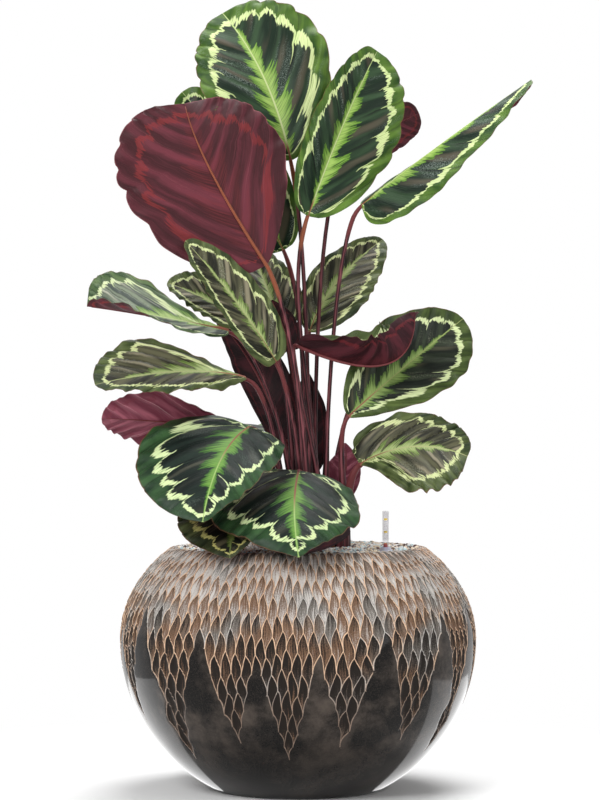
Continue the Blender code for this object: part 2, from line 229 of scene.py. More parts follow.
class Tree:
    """Adds the nodes of one material or node group, and joins them."""

    def __init__(self, tree):
        self.tree = tree

    def put(self, socket, value):
        """Link an output to the socket, or write a number, a vector or a colour into it."""
        if isinstance(value, bpy.types.NodeSocket):
            self.tree.links.new(value, socket)
        elif socket.type == "RGBA":
            socket.default_value = (*value[:3], 1.0)
        else:
            socket.default_value = value

    def add(self, kind, inputs=None, **settings):
        """A shader node of that kind, with its settings and its inputs by name or number."""
        node = self.tree.nodes.new("ShaderNode" + kind)
        for key, value in settings.items():
            setattr(node, key, value)
        for key, value in (inputs or {}).items():
            self.put(node.inputs[key], value)
        return node

    def math(self, operation, first, second=0.0, third=0.0):
        """The result of a Math node."""
        return self.add("Math", {0: first, 1: second, 2: third}, operation=operation).outputs[0]

    def times(self, first, second):
        """The product of two numbers."""
        return self.math("MULTIPLY", first, second)

    def plus(self, first, second):
        """The sum of two numbers."""
        return self.math("ADD", first, second)

    def less(self, first, second):
        """The first number less the second."""
        return self.math("SUBTRACT", first, second)

    def scaled(self, value, factor, offset):
        """The value times a factor, plus an offset."""
        return self.math("MULTIPLY_ADD", value, factor, offset)

    def size(self, value):
        """The value without its sign."""
        return self.math("ABSOLUTE", value)

    def step(self, value, low, high):
        """0 at low and 1 at high, with a smooth step between them. low may be the larger."""
        inputs = {"Value": value, "From Min": low, "From Max": high}
        return self.add("MapRange", inputs, interpolation_type="SMOOTHSTEP").outputs[0]

    def blend(self, factor, first, second):
        """Two colours mixed by a factor."""
        return self.add("Mix", {0: factor, 6: first, 7: second}, data_type="RGBA").outputs[2]

    def pair(self, first, second, third=0.0):
        """Two or three numbers as one vector."""
        return self.add("CombineXYZ", {0: first, 1: second, 2: third}).outputs[0]

    def parts(self, vector):
        """The numbers that a vector holds."""
        return self.add("SeparateXYZ", {0: vector}).outputs

    def uv(self, title):
        """The numbers of the piece's UV map."""
        return self.parts(self.add("UVMap", uv_map=title).outputs[0])

    def noise(self, vector, scale, detail, roughness=0.5):
        """Smooth noise from 0 to 1, about 0.5 on average."""
        inputs = {"Vector": vector, "Scale": scale, "Detail": detail, "Roughness": roughness}
        return self.add("TexNoise", inputs).outputs[0]

    def place(self):
        """The piece's Object coordinates."""
        return self.add("TexCoord").outputs["Object"]

    def specks(self, scale, detail, roughness=0.5):
        """Noise that stays in its place on the piece."""
        return self.noise(self.place(), scale, detail, roughness)

    def group(self, group, inputs=None):
        """A node group's outputs."""
        node = self.add("Group")
        node.node_tree = group
        for key, value in (inputs or {}).items():
            self.put(node.inputs[key], value)
        return node.outputs

    def bump(self, height, distance, strength=1.0):
        """A normal bent by a height."""
        inputs = {"Height": height, "Distance": distance, "Strength": strength}
        return self.add("Bump", inputs).outputs[0]

    def coat(self, shader, skin, roughness=None, normal=None):
        """Put the colour on the shader, and the roughness and the bent normal where they are given."""
        for title, value in (("Base Color", skin), ("Roughness", roughness), ("Normal", normal)):
            if value is not None:
                self.put(shader.inputs[title], value)


def new_material(name, **sockets):
    """A Principled material with those plain values on its sockets, as (material, tree, shader)."""
    material = bpy.data.materials.new(name)
    material.use_nodes = True
    tree = Tree(material.node_tree)
    shader = material.node_tree.nodes["Principled BSDF"]
    for key, value in sockets.items():
        tree.put(shader.inputs[key.replace("_", " ")], value)
    return material, tree, shader


def new_group(name, inputs, outputs):
    """An empty node group with number inputs and outputs, as (group, tree, inputs, put out)."""
    group = bpy.data.node_groups.new(name, "ShaderNodeTree")
    for title, default in inputs.items():
        socket = group.interface.new_socket(title, in_out="INPUT", socket_type="NodeSocketFloat")
        socket.default_value = default
    for title in outputs:
        group.interface.new_socket(title, in_out="OUTPUT", socket_type="NodeSocketFloat")
    given = group.nodes.new("NodeGroupInput").outputs
    out = group.nodes.new("NodeGroupOutput").inputs
    return group, Tree(group), given, out


# -------------------------------------------------------------------------------------------- properties

PALETTES = {
    "fresh": {
        "field": (15, 32, 20), "field_light": (48, 70, 46), "crease": (10, 16, 12), "haze": (88, 80, 66),
        "frost": (170, 184, 174), "margin": (38, 68, 24), "margin_light": (98, 130, 50),
        "ring": (206, 220, 158), "tuft": (100, 142, 50),
        "tuft_light": (152, 182, 94), "rib": (190, 202, 146),
    },
    "deep": {
        "field": (5, 17, 13), "field_light": (20, 36, 28), "crease": (3, 7, 6), "haze": (80, 80, 66),
        "frost": (120, 136, 124), "margin": (20, 42, 25), "margin_light": (56, 88, 50),
        "ring": (206, 222, 166), "tuft": (56, 100, 34),
        "tuft_light": (106, 150, 64), "rib": (150, 176, 104),
    },
    "moss": {
        "field": (13, 20, 13), "field_light": (46, 55, 40), "crease": (8, 9, 6), "haze": (84, 82, 62),
        "frost": (136, 140, 118), "margin": (36, 50, 20), "margin_light": (90, 108, 54),
        "ring": (208, 220, 166), "tuft": (84, 112, 50),
        "tuft_light": (138, 162, 92), "rib": (150, 156, 100),
    },
    "olive": {
        "field": (26, 27, 18), "field_light": (92, 91, 68), "crease": (10, 10, 7), "haze": (158, 150, 124),
        "frost": (176, 180, 164), "margin": (36, 50, 24), "margin_light": (100, 112, 66),
        "ring": (204, 212, 156), "tuft": (104, 128, 58),
        "tuft_light": (164, 180, 118), "rib": (172, 170, 124),
    },
    "silver": {
        "field": (58, 68, 62), "field_light": (128, 138, 118), "crease": (26, 32, 24),
        "haze": (176, 176, 156), "frost": (198, 206, 198), "margin": (44, 68, 38),
        "margin_light": (122, 144, 98),
        "ring": (208, 218, 172), "tuft": (116, 150, 78),
        "tuft_light": (168, 190, 122), "rib": (182, 186, 146),
    },
    "shade": {
        "field": (7, 10, 7), "field_light": (30, 31, 21), "crease": (3, 4, 3), "haze": (96, 90, 68),
        "frost": (106, 110, 92), "margin": (26, 34, 18), "margin_light": (78, 84, 52),
        "ring": (180, 174, 106), "tuft": (74, 92, 40),
        "tuft_light": (108, 124, 62), "rib": (108, 118, 70),
    },
}
PALETTE_PARTS = {
    "field": "Dark green between the midrib and the ring",
    # field_light is also the lit half of the painted pleat shading.
    "field_light": "Lighter stripes of that field",
    # The crease colour is painted shade in the creases beside the side veins.
    "crease": "Dark creases beside the side veins",
    "haze": "Dull brown-grey stripes of that field",
    # A painted whitish sheen, as fine grain.
    "frost": "Fine whitish grain",
    "margin": "Green outside the ring",
    # margin_light is also the lit half of the painted pleat shading.
    "margin_light": "Lighter patches outside the ring",
    "ring": "Cream ring inside the margin",
    "tuft": "Lime tufts beside the midrib, at their ends",
    "tuft_light": "The tufts beside the midrib",
    "rib": "The midrib's pale line",
}
UNDERSIDES = {
    "burgundy": {"dark": (58, 27, 31), "light": (104, 48, 58), "ring": (128, 46, 46), "vein": (128, 74, 78)},
    # The rose vein colour is pale so that it also paints highlights along the folds.
    "rose": {"dark": (98, 42, 56), "light": (150, 84, 98), "ring": (112, 48, 60), "vein": (236, 198, 200)},
    "wine": {"dark": (40, 16, 21), "light": (78, 33, 41), "ring": (104, 36, 40), "vein": (96, 54, 58)},
    "maroon": {"dark": (26, 10, 13), "light": (62, 26, 33), "ring": (84, 28, 32), "vein": (80, 40, 44)},
}
UNDER_PARTS = {
    # dark and light are also the shaded and the lit halves of the painted fold shading.
    "dark": "Dark folds of the underside",
    "light": "Light folds of the underside",
    "ring": "Red ring and tufts of the underside",
    "vein": "Side veins and margin of the underside",
}


def palette_properties(palettes, parts):
    """A colour property for each part of each palette."""
    return {
        f"{palette}_{part}": colour(f"{palette} {part}".replace("_", " "), parts[part], *value)
        for palette, values in palettes.items()
        for part, value in values.items()
    }


class CalatheaPalettes(PropertyGroup):
    """Colours of the blades' two sides, one palette for each kind of leaf."""

    __annotations__ = {
        **palette_properties(PALETTES, PALETTE_PARTS),
        **palette_properties(UNDERSIDES, UNDER_PARTS),
    }


class CalatheaBlades(PropertyGroup):
    """Sizes of the blades, and the colours of their midribs and margins."""

    thickness: length("Thickness", "Thickness of a blade beside its midrib", 0.9, 5)
    pleat: share("Pleats", "Height of the folds that follow the side veins, as a share of full", 1.0)
    ruffle: share("Ruffles", "Height of the waves along the margin, as a share of full", 1.0)
    rows: whole("Rows", "Grid cells along a blade", 92, 12, 200)
    columns: whole("Columns", "Grid cells across a blade", 36, 6, 100)
    rib_base: colour("Midrib base", "Pink-brown midrib near the stalk", 140, 86, 70)
    hem: colour("Hem", "Thin dry edge of a blade", 112, 74, 54)


class CalatheaStems(PropertyGroup):
    """Sizes and colours of the stalks."""

    radius: length("Radius", "Radius of a stalk at its middle", 2.5, 20)
    foot_radius: length("Foot radius", "Radius where a stalk leaves the crown", 6.4, 20)
    joint_length: length("Joint length", "Length of the thick joint under the blade", 40, 100)
    sides: whole("Sides", "Faces round a stalk", 14, 6, 64)
    skin: colour("Skin", "Maroon of the stalk", 38, 12, 17)
    # Also the colour of the painted highlight line along each stalk.
    streak_and_highlight: colour("Light streaks", "Pinkish streaks of the stalk", 152, 88, 94)
    joint: colour("Joint", "Orange-brown of the joint under a tall leaf", 134, 76, 54)
    dull_joint: colour("Dull joint", "Joint and midrib of the other leaves", 102, 49, 51)


class CalatheaPot(PropertyGroup):
    """Sizes and colours of the pot's carving and glaze."""

    scoops: whole("Scoops", "Carved scoops in one row round the pot", 100, 17, 200)
    scoop_height: length("Scoop height", "Height of one scoop", 47, 200)
    scoop_depth: length("Scoop depth", "Depth of a scoop at its middle", 3.0, 10)
    samples: whole("Samples", "Mesh columns across one scoop", 6, 2, 16)
    row: length("Row", "Height of one mesh row on the carved wall", 2.4, 20)
    ridge: colour("Ridge", "Warm bare edge between two scoops", 232, 194, 162)
    ridge_pale: colour("Pale ridge", "Cool bare edges near the rim", 206, 201, 195)
    ridge_low: colour("Low ridge", "The edges near the end of the carving", 140, 120, 106)
    # Silver also takes the painted light at the lower end of a scoop.
    silver: colour("Silver", "Rubbed light strokes in the scoops", 198, 193, 188)
    dust: colour("Dust", "Middle grey of the scoops", 104, 98, 92)
    sand: colour("Sand", "Middle brown of the warm scoops", 114, 86, 66)
    # Also the painted shade at the top of a scoop.
    bark_and_shade: colour("Bark", "Dark brown at the top of a scoop", 30, 24, 20)
    glaze: colour("Glaze", "Dark glaze below the carving", 13, 11, 10)
    cloud: colour("Cloud", "Cloudy brown-grey patches in the glaze", 82, 73, 66)


class CalatheaGravel(PropertyGroup):
    """Sizes and colours of the gravel."""

    pebbles: whole("Pebbles", "Number of loose pebbles", 5200, 10, 6000)
    pebble: length("Pebble", "Mean radius of a pebble", 2.0, 20)
    heap: length("Heap", "How much higher the gravel is beside the crown than at the rim", 5.0, 20)
    cream: colour("Cream", "Cream pebbles", 242, 224, 198)
    white: colour("White", "White pebbles", 252, 251, 248)
    blue: colour("Blue", "Pale grey-blue pebbles", 206, 231, 236)
    brown: colour("Brown", "Brown and maroon pebbles", 88, 58, 56)
    bed: colour("Bed", "What shows between the pebbles", 156, 142, 130)


class CalatheaIndicator(PropertyGroup):
    """Colours of the water-level indicator."""

    tube: colour("Tube", "Clear plastic of the tube", 186, 182, 187)
    plastic: colour("Plastic", "Plastic of the float's rod", 216, 213, 216)
    collar: colour("Collar", "Pale plastic of the collar", 224, 222, 236)
    red: colour("Red", "Top of the float", 178, 24, 14)
    amber: colour("Amber", "Tip of the float", 226, 132, 40)
    mark: colour("Mark", "Bars on the tube", 216, 184, 72)


class CalatheaStage(PropertyGroup):
    """Floor, light and camera."""

    distance: metres("Distance", "From the camera to the pot's axis", 3.4)
    eye: metres("Eye height", "Height of the camera", 0.4685)
    aside: metres("Aside", "Camera to the right of the pot's axis", 0.0024)
    view_height: metres("View height", "What the picture's height takes in at the pot's axis", 0.9664)
    floor: colour("Floor", "Floor and background", 255, 255, 255)
    ambient: share("Ambient", "Strength of the light from all round", 0.24)


GROUPS = {
    "palettes": CalatheaPalettes, "blades": CalatheaBlades, "stems": CalatheaStems, "pot": CalatheaPot,
    "gravel": CalatheaGravel, "indicator": CalatheaIndicator, "stage": CalatheaStage,
}


class CalatheaSettings(PropertyGroup):
    """Everything that the panel shows."""

    __annotations__ = {
        key: PointerProperty(type=group, name=key.title(), description=group.__doc__)
        for key, group in GROUPS.items()
    }


# ------------------------------------------------------------------------------------------------ leaves

# How the blades of one look grow: bands between side veins on each side; sweep, how far a side vein runs
# forward for each width that it runs outward; lobes, how far the margin draws in (or, below 0, juts out)
# where two bands meet; heel and toe, from 0.3, broad and blunt, to 1, drawn out, for the two ends; back, how
# far the base reaches back for each width that it reaches outwards; the height of the pleats and of the waves
# along the margin, in millimetres on a blade 60 mm wide on each side; rib, the share of the midrib that is
# pink-brown above; and ring and scallop, the ring's width and the depth of its arches, as shares of the half
# width.
Habit = namedtuple("Habit", "bands sweep lobes heel toe back pleat ruffle rib ring scallop")
HABITS = {
    "fresh": Habit(6, 1.25, 0.055, 0.5, 0.42, 0.0, 2.4, 3.6, 0.12, 0.05, 0.07),
    "deep": Habit(5, 0.95, 0.02, 0.42, 0.95, 0.4, 1.9, 3.2, 0.6, 0.041, 0.13),
    "moss": Habit(6, 1.2, -0.045, 0.46, 0.42, 0.0, 3.0, 4.2, 0.4, 0.046, 0.08),
    "olive": Habit(6, 1.6, -0.045, 0.75, 0.5, 0.0, 3.8, 3.0, 0.35, 0.042, 0.07),
    "silver": Habit(6, 1.7, -0.08, 0.75, 0.5, 0.0, 3.0, 3.0, 0.35, 0.036, 0.06),
    "shade": Habit(5, 1.2, 0.03, 0.5, 0.85, 0.3, 2.0, 2.4, 0.3, 0.04, 0.1),
}

# The same leaves as the frame's: foot is the stalk's place on the crown, as (ring, degrees); base, mid and
# tip are points of the midrib in millimetres; face is the way the upper side looks. The others are (left,
# right) pairs: the half width in millimetres, the place along the midrib where it is reached, the angle at
# which that half leaves the midrib, what the tip adds to it, what the half bends through on its way to the
# margin, the heel and toe and back where they differ from the look's, and ahead, how far the tip's end
# reaches forward for each width that it reaches outwards. twist turns the blade about its midrib, and arch is
# how far the stalk follows it. look and under are the palettes of the two sides, and open_base is how near
# the ring comes to the margin at the base.
Leaf = namedtuple(
    "Leaf",
    "name foot base mid tip face look half widest fold tip_fold curl heel toe back ahead twist arch under "
    "open_base",
)
Leaf.__new__.__defaults__ = (
    (0.44, 0.44), (10, 10), (0, 0), (-10, -10), None, None, None, (0, 0), 0, 0.15, "burgundy", 0.35,
)

LEAVES = [
    Leaf("top_left", (1, 120), (-9, 10, 759), (-42, 30, 862), (-93, 70, 945), (0.0, -1.0, 0.4), "fresh",
         half=(76, 86), widest=(0.5, 0.6), fold=(15, 12), curl=(-15, -20), arch=0.2),
    Leaf("top_right", (1, 300), (12, -15, 690), (54, -5, 800), (96, 25, 893), (0.2, -1.0, 0.15), "fresh",
         half=(44, 68), widest=(0.42, 0.5), fold=(40, 5), curl=(-25, -15), arch=0.25),
    Leaf("far_right", (1, 0), (76, -20, 703), (167, -50, 771), (278, -45, 850), (0.0, -1.0, 0.7), "fresh",
         half=(30, 46), widest=(0.44, 0.4), fold=(-30, -25), curl=(-10, -20), heel=(0.6, 0.55),
         back=(0.5, 0.5), twist=75, arch=0.1),
    Leaf("tall_purple", (3, 260), (-38, -70, 628), (-104, -85, 740), (-134, -70, 819), (-0.35, 0.9, 0.1),
         "fresh", half=(102, 102), widest=(0.46, 0.54), fold=(8, 8), curl=(5, 5), heel=(0.9, 0.42),
         toe=(0.6, 0.34), ahead=(0.5, 0.04)),
    Leaf("upper_back_right", (2, 90), (72, 68, 786), (112, 82, 806), (150, 90, 824), (0.1, 1.0, 0.3),
         "fresh", half=(30, 28), toe=(0.34, 0.34), arch=0.12),
    Leaf("upper_back_left", (2, 120), (-18, 50, 652), (-76, 80, 759), (-144, 95, 851), (-0.2, -1.0, 0.4),
         "fresh", half=(50, 48), arch=0.2),
    Leaf("mid_back_right", (3, 80), (14, 55, 552), (48, 85, 615), (106, 120, 669), (0.1, -0.8, 0.5),
         "olive", half=(30, 46), fold=(20, 20), curl=(-20, -20)),
    Leaf("mid_back", (3, 120), (-17, 38, 552), (-37, 68, 604), (-60, 107, 659), (0.1, -0.8, 0.5), "olive",
         half=(44, 36)),
    Leaf("twisted_left", (2, 240), (-26, -55, 514), (-72, -80, 583), (-132, -100, 655), (0.3, -1.0, 0.4),
         "olive", half=(27, 33), widest=(0.4, 0.45), fold=(15, 15), curl=(-10, -10), heel=(0.42, 0.42),
         open_base=1.3),
    Leaf("mid_left_back", (2, 180), (-43, 6, 551), (-100, 2, 585), (-158, 0, 610), (0.0, -0.7, 0.7),
         "olive", half=(28, 42)),
    Leaf("upper_left", (2, 210), (-83, -30, 551), (-162, -60, 567), (-249, -80, 579), (0.0, -0.86, 0.5),
         "silver", half=(24, 58), widest=(0.5, 0.74), fold=(10, 10), tip_fold=(60, 40), curl=(0, 0),
         heel=(0.6, 0.9), toe=(0.4, 0.3), twist=-50),
    Leaf("lower_left", (3, 200), (-62, -45, 495), (-139, -80, 502), (-237, -110, 486), (-0.1, -0.6, 0.8),
         "olive", half=(46, 64), widest=(0.5, 0.68), heel=(0.9, 1.0)),
    Leaf("low_purple_left", (3, 180), (-58, -20, 432), (-146, -55, 442), (-232, -75, 447), (0.0, 0.7, 0.7),
         "olive", half=(42, 44), widest=(0.7, 0.55), fold=(5, 5), curl=(0, 0), under="rose"),
    Leaf("front_left", (3, 240), (-57, -75, 437), (-89, -150, 399), (-108, -205, 330), (-0.2, -0.9, 0.4),
         "deep", half=(58, 100), widest=(0.36, 0.5), fold=(5, 5), curl=(-30, -12), heel=(0.5, 0.4),
         toe=(0.75, 0.55), back=(0.3, 0.25), ahead=(0, 0.02)),
    Leaf("front", (3, 280), (1, -70, 385), (-4, -155, 344), (1, -205, 290), (0.0, -0.8, 0.6), "deep",
         half=(76, 96), widest=(0.42, 0.4), fold=(-5, -5), curl=(-20, -10)),
    Leaf("rim_left", (3, 220), (-43, -60, 374), (-70, -130, 329), (-78, -168, 287), (-0.3, -0.8, 0.4),
         "shade", half=(36, 72), widest=(0.5, 0.44), fold=(0, 5), curl=(-10, 0)),
    Leaf("rim_front", (3, 320), (58, -118, 322), (6, -162, 308), (-48, -164, 302), (0.0, 1.0, -0.1), "deep",
         half=(24, 15), fold=(25, 10), curl=(0, 0), under="maroon"),
    Leaf("low_right", (3, 340), (74, -25, 392), (136, -55, 413), (200, -80, 402), (0.0, -0.8, 0.6), "olive",
         half=(46, 70), widest=(0.42, 0.62), heel=(0.36, 0.8), toe=(0.4, 0.34), back=(0.3, 0),
         ahead=(0, 0.25)),
    Leaf("mid_right", (3, 0), (61, -10, 449), (121, -5, 502), (200, 10, 567), (0.1, -0.9, 0.3), "moss",
         half=(56, 54), widest=(0.6, 0.7), toe=(0.55, 0.5)),
    Leaf("curled_right", (2, 300), (0, -40, 535), (104, -65, 512), (138, -85, 572), (0.0, -0.1, 1.0),
         "moss", half=(50, 42), widest=(0.6, 0.5), fold=(60, 45), curl=(10, 10), heel=(0.4, 0.3), arch=0.1,
         under="wine"),
    Leaf("inner_left", (2, 150), (-17, 20, 421), (-53, 32, 506), (-103, 40, 572), (0.2, 0.9, 0.3), "deep",
         half=(34, 24), under="maroon"),
    Leaf("inner_right", (3, 100), (10, 50, 384), (12, 54, 442), (10, 60, 506), (0.0, 1.0, 0.1), "deep",
         half=(23, 20), under="maroon"),
    Leaf("inner_top", (1, 180), (-10, 10, 530), (-20, 18, 561), (-32, 24, 590), (0.0, 1.0, 0.3), "deep",
         half=(16, 34), under="maroon"),
    Leaf("low_purple_right", (3, 20), (44, 14, 347), (57, 22, 382), (57, 30, 416), (0.0, 1.0, 0.3), "deep",
         half=(18, 22), under="rose"),
    Leaf("rear_left", (3, 140), (-20, 60, 430), (-70, 125, 430), (-115, 190, 380), (0.0, -0.1, 1.0),
         "deep", half=(52, 52)),
    Leaf("rear_right", (3, 60), (71, 60, 471), (121, 115, 503), (167, 170, 504), (-0.1, -0.2, 1.0),
         "fresh", half=(40, 44)),
]
NECK = 3 * MM  # half the blade's width where it meets the stalk
POINT = 1.2 * MM  # half its width at the tip
FOOT_RING = 12.5 * MM  # spacing of the rings of stalk feet on the crown
USUAL_HALF = 60  # millimetres from midrib to margin of a blade with pleats of their plain height
MARGIN_POINTS = 180  # points of the margin that distances to it are measured from
APART = 40  # added to the band number of the next leaf and side, so that no two have the same noise
VEIN_REACH = 0.62  # furthest that a side vein runs forward, as a share of the midrib
VEIN_BEND = 1.2  # power with which a side vein turns forward
GROOVE = 0.5 * MM  # depth of the groove above the midrib, at its base


def quadratic(points, u):
    """Points at u of the parabola that passes the three given points at u = 0, 1/2 and 1."""
    weights = np.stack([(1 - u) * (1 - 2 * u), 4 * u * (1 - u), u * (2 * u - 1)], axis=-1)
    return weights @ np.array(points, float)


def rib_length(leaf):
    """Length of the midrib."""
    rib = quadratic([leaf.base, leaf.mid, leaf.tip], np.linspace(0, 1, 24)) * MM
    return np.linalg.norm(np.diff(rib, axis=0), axis=1).sum()


def outline(leaf, u, v):
    """Share of the half width along the midrib: a sine arch to a power that runs from the heel to the toe."""
    habit = HABITS[leaf.look]
    heel = sided(leaf.heel or (habit.heel, habit.heel), v)
    toe = sided(leaf.toe or (habit.toe, habit.toe), v)
    arch = np.sin(math.pi * np.clip(u, 0, 1) ** (math.log(0.5) / np.log(sided(leaf.widest, v))))
    return np.clip(arch, 0, 1) ** (heel + (toe - heel) * smooth(u, 0.3, 0.9))


def blade_frame(leaf, u):
    """Midrib points, with the side, upper and forward directions of the blade there."""
    rib = quadratic([leaf.base, leaf.mid, leaf.tip], u) * MM
    step = 1e-4
    ahead = quadratic([leaf.base, leaf.mid, leaf.tip], u + step)
    behind = quadratic([leaf.base, leaf.mid, leaf.tip], u - step)
    along = unit(ahead - behind)
    face = np.array(leaf.face, float)
    upper = unit(face - (along @ face)[..., None] * along)
    side = np.cross(along, upper)
    turn = np.radians(leaf.twist) * u
    cos, sin = np.cos(turn)[..., None], np.sin(turn)[..., None]
    return rib, side * cos + upper * sin, upper * cos - side * sin, along


def sided(pair, v):
    """An array that holds the pair's left value where v is below 0, and its right value elsewhere."""
    return np.where(v >= 0, pair[1], pair[0]).astype(float)


def band_number(leaf, u, v, reach, seed):
    """Number of the band between side veins at u along the midrib and reach outwards.

    A vein runs forward by sweep times the width that it crosses, to the power VEIN_BEND, and slow waves
    make the bands uneven.
    """
    habit = HABITS[leaf.look]
    forward = habit.sweep * sided(leaf.half, v) * MM / rib_length(leaf)
    place = u - np.minimum(forward, VEIN_REACH) * reach**VEIN_BEND
    return habit.bands * place + 0.32 * waves(5.5 * place + 3 * (v >= 0), seed + 31, 2)


def half_width(leaf, u, v, seed):
    """Width from the midrib to the margin, with slow waves, and a notch or a point where two bands meet."""
    habit = HABITS[leaf.look]
    out = outline(leaf, u, v)
    band = math.pi * band_number(leaf, u, v, out, seed)
    meeting = (1 - np.abs(np.sin(band))) ** 1.6 if habit.lobes > 0 else np.cos(band) ** 2
    lobes = habit.lobes * (0.3 - meeting) * smooth(u, 0.05, 0.3)
    slow = 0.022 * waves(9 * u + 5 * np.sign(v), seed + 11)
    return sided(leaf.half, v) * MM * out * (1 + lobes + slow) + NECK * (1 - u) + POINT * u


def blade_surface(leaf, u, v, sizes, seed):
    """Middle surface of a blade at u along its midrib and v across it, from -1 on the left margin to 1.

    Each half leaves the midrib at its fold angle and bends evenly through its curl angle, so its section is
    an arc: the integrals of cos and sin of fold + curl * |v|. Pleats rise and fall once in each band, with
    a sharp valley along each side vein, and the margin ruffles in slow waves that grow with |v| to the
    power 4. The base reaches back and the tip forward by shares of the width, times |v| to the power 1.5.
    """
    rib, side, upper, ahead = blade_frame(leaf, u)
    habit = HABITS[leaf.look]
    width = half_width(leaf, u, v, seed)
    fold = np.radians(sided(leaf.fold, v) + sided(leaf.tip_fold, v) * u**3)
    curl = sided(leaf.curl, v)
    curl = np.radians(np.where(np.abs(curl) < 0.1, 0.1, curl))
    reach = np.abs(v)
    across = np.sign(v) * (np.sin(fold + curl * reach) - np.sin(fold)) / curl * width
    lift = (np.cos(fold) - np.cos(fold + curl * reach)) / curl * width
    out = reach * outline(leaf, u, v)
    band = band_number(leaf, u, v, out, seed)
    size = min(np.mean(leaf.half) / USUAL_HALF, 1.15)
    clear_of_rib = 1 - np.exp(-((out / 0.3) ** 2))
    ridge = 0.65 * (2 * np.abs(np.sin(math.pi * band)) - 1) + 0.35 * waves(2.6 * math.pi * band, seed + 5, 2)
    pleat = sizes.pleat * habit.pleat * MM * size * ridge * clear_of_rib
    ruffle = habit.ruffle * MM * size * reach**4 * waves(2.2 * math.pi * u * 3 + 2 * np.sign(v), seed)
    ruffle = ruffle * smooth(u, 0.02, 0.2) * smooth(u, 1.0, 0.86) * sizes.ruffle
    forward = sided(leaf.ahead, v) * smooth(u, 0.4, 1.0)
    forward = forward - sided(leaf.back or (habit.back, habit.back), v) * smooth(u, 0.5, 0.0)
    shift = (forward * width * reach**1.5)[..., None]
    return rib + side * across[..., None] + upper * (lift + pleat + ruffle)[..., None] + ahead * shift


def margin_distance(leaf, u, v, seed):
    """Distance to the margin in the flattened blade, as a share of the half width.

    Near the midrib, the two halves' widths are averaged, so that the ring closes there without a step. The
    share is stretched at the base and the tip, where the ring comes nearer to the margin.
    """
    length_along = rib_length(leaf)
    edge_u = np.linspace(0, 1, MARGIN_POINTS)
    nearest = np.empty(u.shape)
    flat = np.stack([np.abs(v) * half_width(leaf, u, v, seed), u * length_along], axis=-1)
    for rows, sign in ((v < 0, -1.0), (v >= 0, 1.0)):
        wide = half_width(leaf, edge_u, 0 * edge_u + sign, seed)
        edge = np.stack([wide, edge_u * length_along], axis=-1)
        nearest[rows] = np.linalg.norm(flat[rows][:, None] - edge[None], axis=-1).min(axis=1)
    mean = np.mean(leaf.half)
    half = mean + (sided(leaf.half, v) - mean) * smooth(np.abs(v), 0, 0.5)
    near = leaf.open_base + (1 - leaf.open_base) * smooth(u, 0.0, 0.34)
    drawn_out = np.clip((HABITS[leaf.look].toe - 0.45) / 0.5, 0, 1)
    near = near * (1 - 0.6 * drawn_out * smooth(u, 0.7, 1.0))
    return nearest / (MM * half * near)


def build_blade(leaf, number, sizes, above, below):
    """One leaf blade: a closed shell of an upper and a lower grid, joined by a thin margin."""
    rows, columns = sizes.rows, sizes.columns
    step = np.linspace(0, 1, rows + 1)
    along = 0.6 * step + 0.4 * (0.5 - 0.5 * np.cos(math.pi * step))
    across = np.linspace(-1, 1, columns + 1)
    u, v = np.meshgrid(along, across - 0.12 * np.sin(2 * math.pi * across) / 2, indexing="ij")
    seed = 100 + number
    middle = blade_surface(leaf, u, v, sizes, seed)
    normal = unit(np.cross(np.gradient(middle, axis=1), np.gradient(middle, axis=0)))
    thickness = sizes.thickness * (1 - 0.6 * v**2)[..., None]
    groove = GROOVE * np.exp(-((v / 0.05) ** 2))[..., None] * (1 - u[..., None])
    top = middle + normal * (thickness / 2 - groove)
    bottom = middle - normal * thickness / 2
    count = (rows + 1) * (columns + 1)
    index = np.arange(count).reshape(rows + 1, columns + 1)
    ring = np.concatenate([index[0, :-1], index[:-1, -1], index[-1, :0:-1], index[:0:-1, 0]])
    rim = np.stack([ring, ring + count, np.roll(ring, -1) + count, np.roll(ring, -1)], axis=1)
    upper_faces = grid_faces(rows + 1, columns + 1)
    faces = [upper_faces, upper_faces[:, [0, 3, 2, 1]] + count, rim]
    indices = np.repeat([0, 1, 0], [len(part) for part in faces])

    reach = np.abs(v) * outline(leaf, u, v)
    apart = 2 * number * APART
    left = band_number(leaf, u, np.minimum(v, -1e-9), reach, seed) + apart + APART
    right = band_number(leaf, u, np.maximum(v, 0), reach, seed) + apart
    edge = margin_distance(leaf, u, v, seed)
    loops = np.concatenate([part.ravel() for part in faces]) % count
    on_left = np.concatenate([np.repeat(v.ravel()[part % count].mean(axis=1) < 0, 4) for part in faces])
    bands = np.where(on_left, left.ravel()[loops], right.ravel()[loops])
    maps = {
        "bands": np.stack([bands, reach.ravel()[loops]], axis=1),
        "border": np.stack([u.ravel()[loops], edge.ravel()[loops]], axis=1),
    }
    points = np.concatenate([top.reshape(-1, 3), bottom.reshape(-1, 3)])
    item = new_piece(f"{leaf.name}_blade", points, faces, [above, below], indices, maps)
    item.data.set_sharp_from_angle(angle=math.radians(60))
    dress(item, "root", "leaf", f"{leaf.name}_leaf")


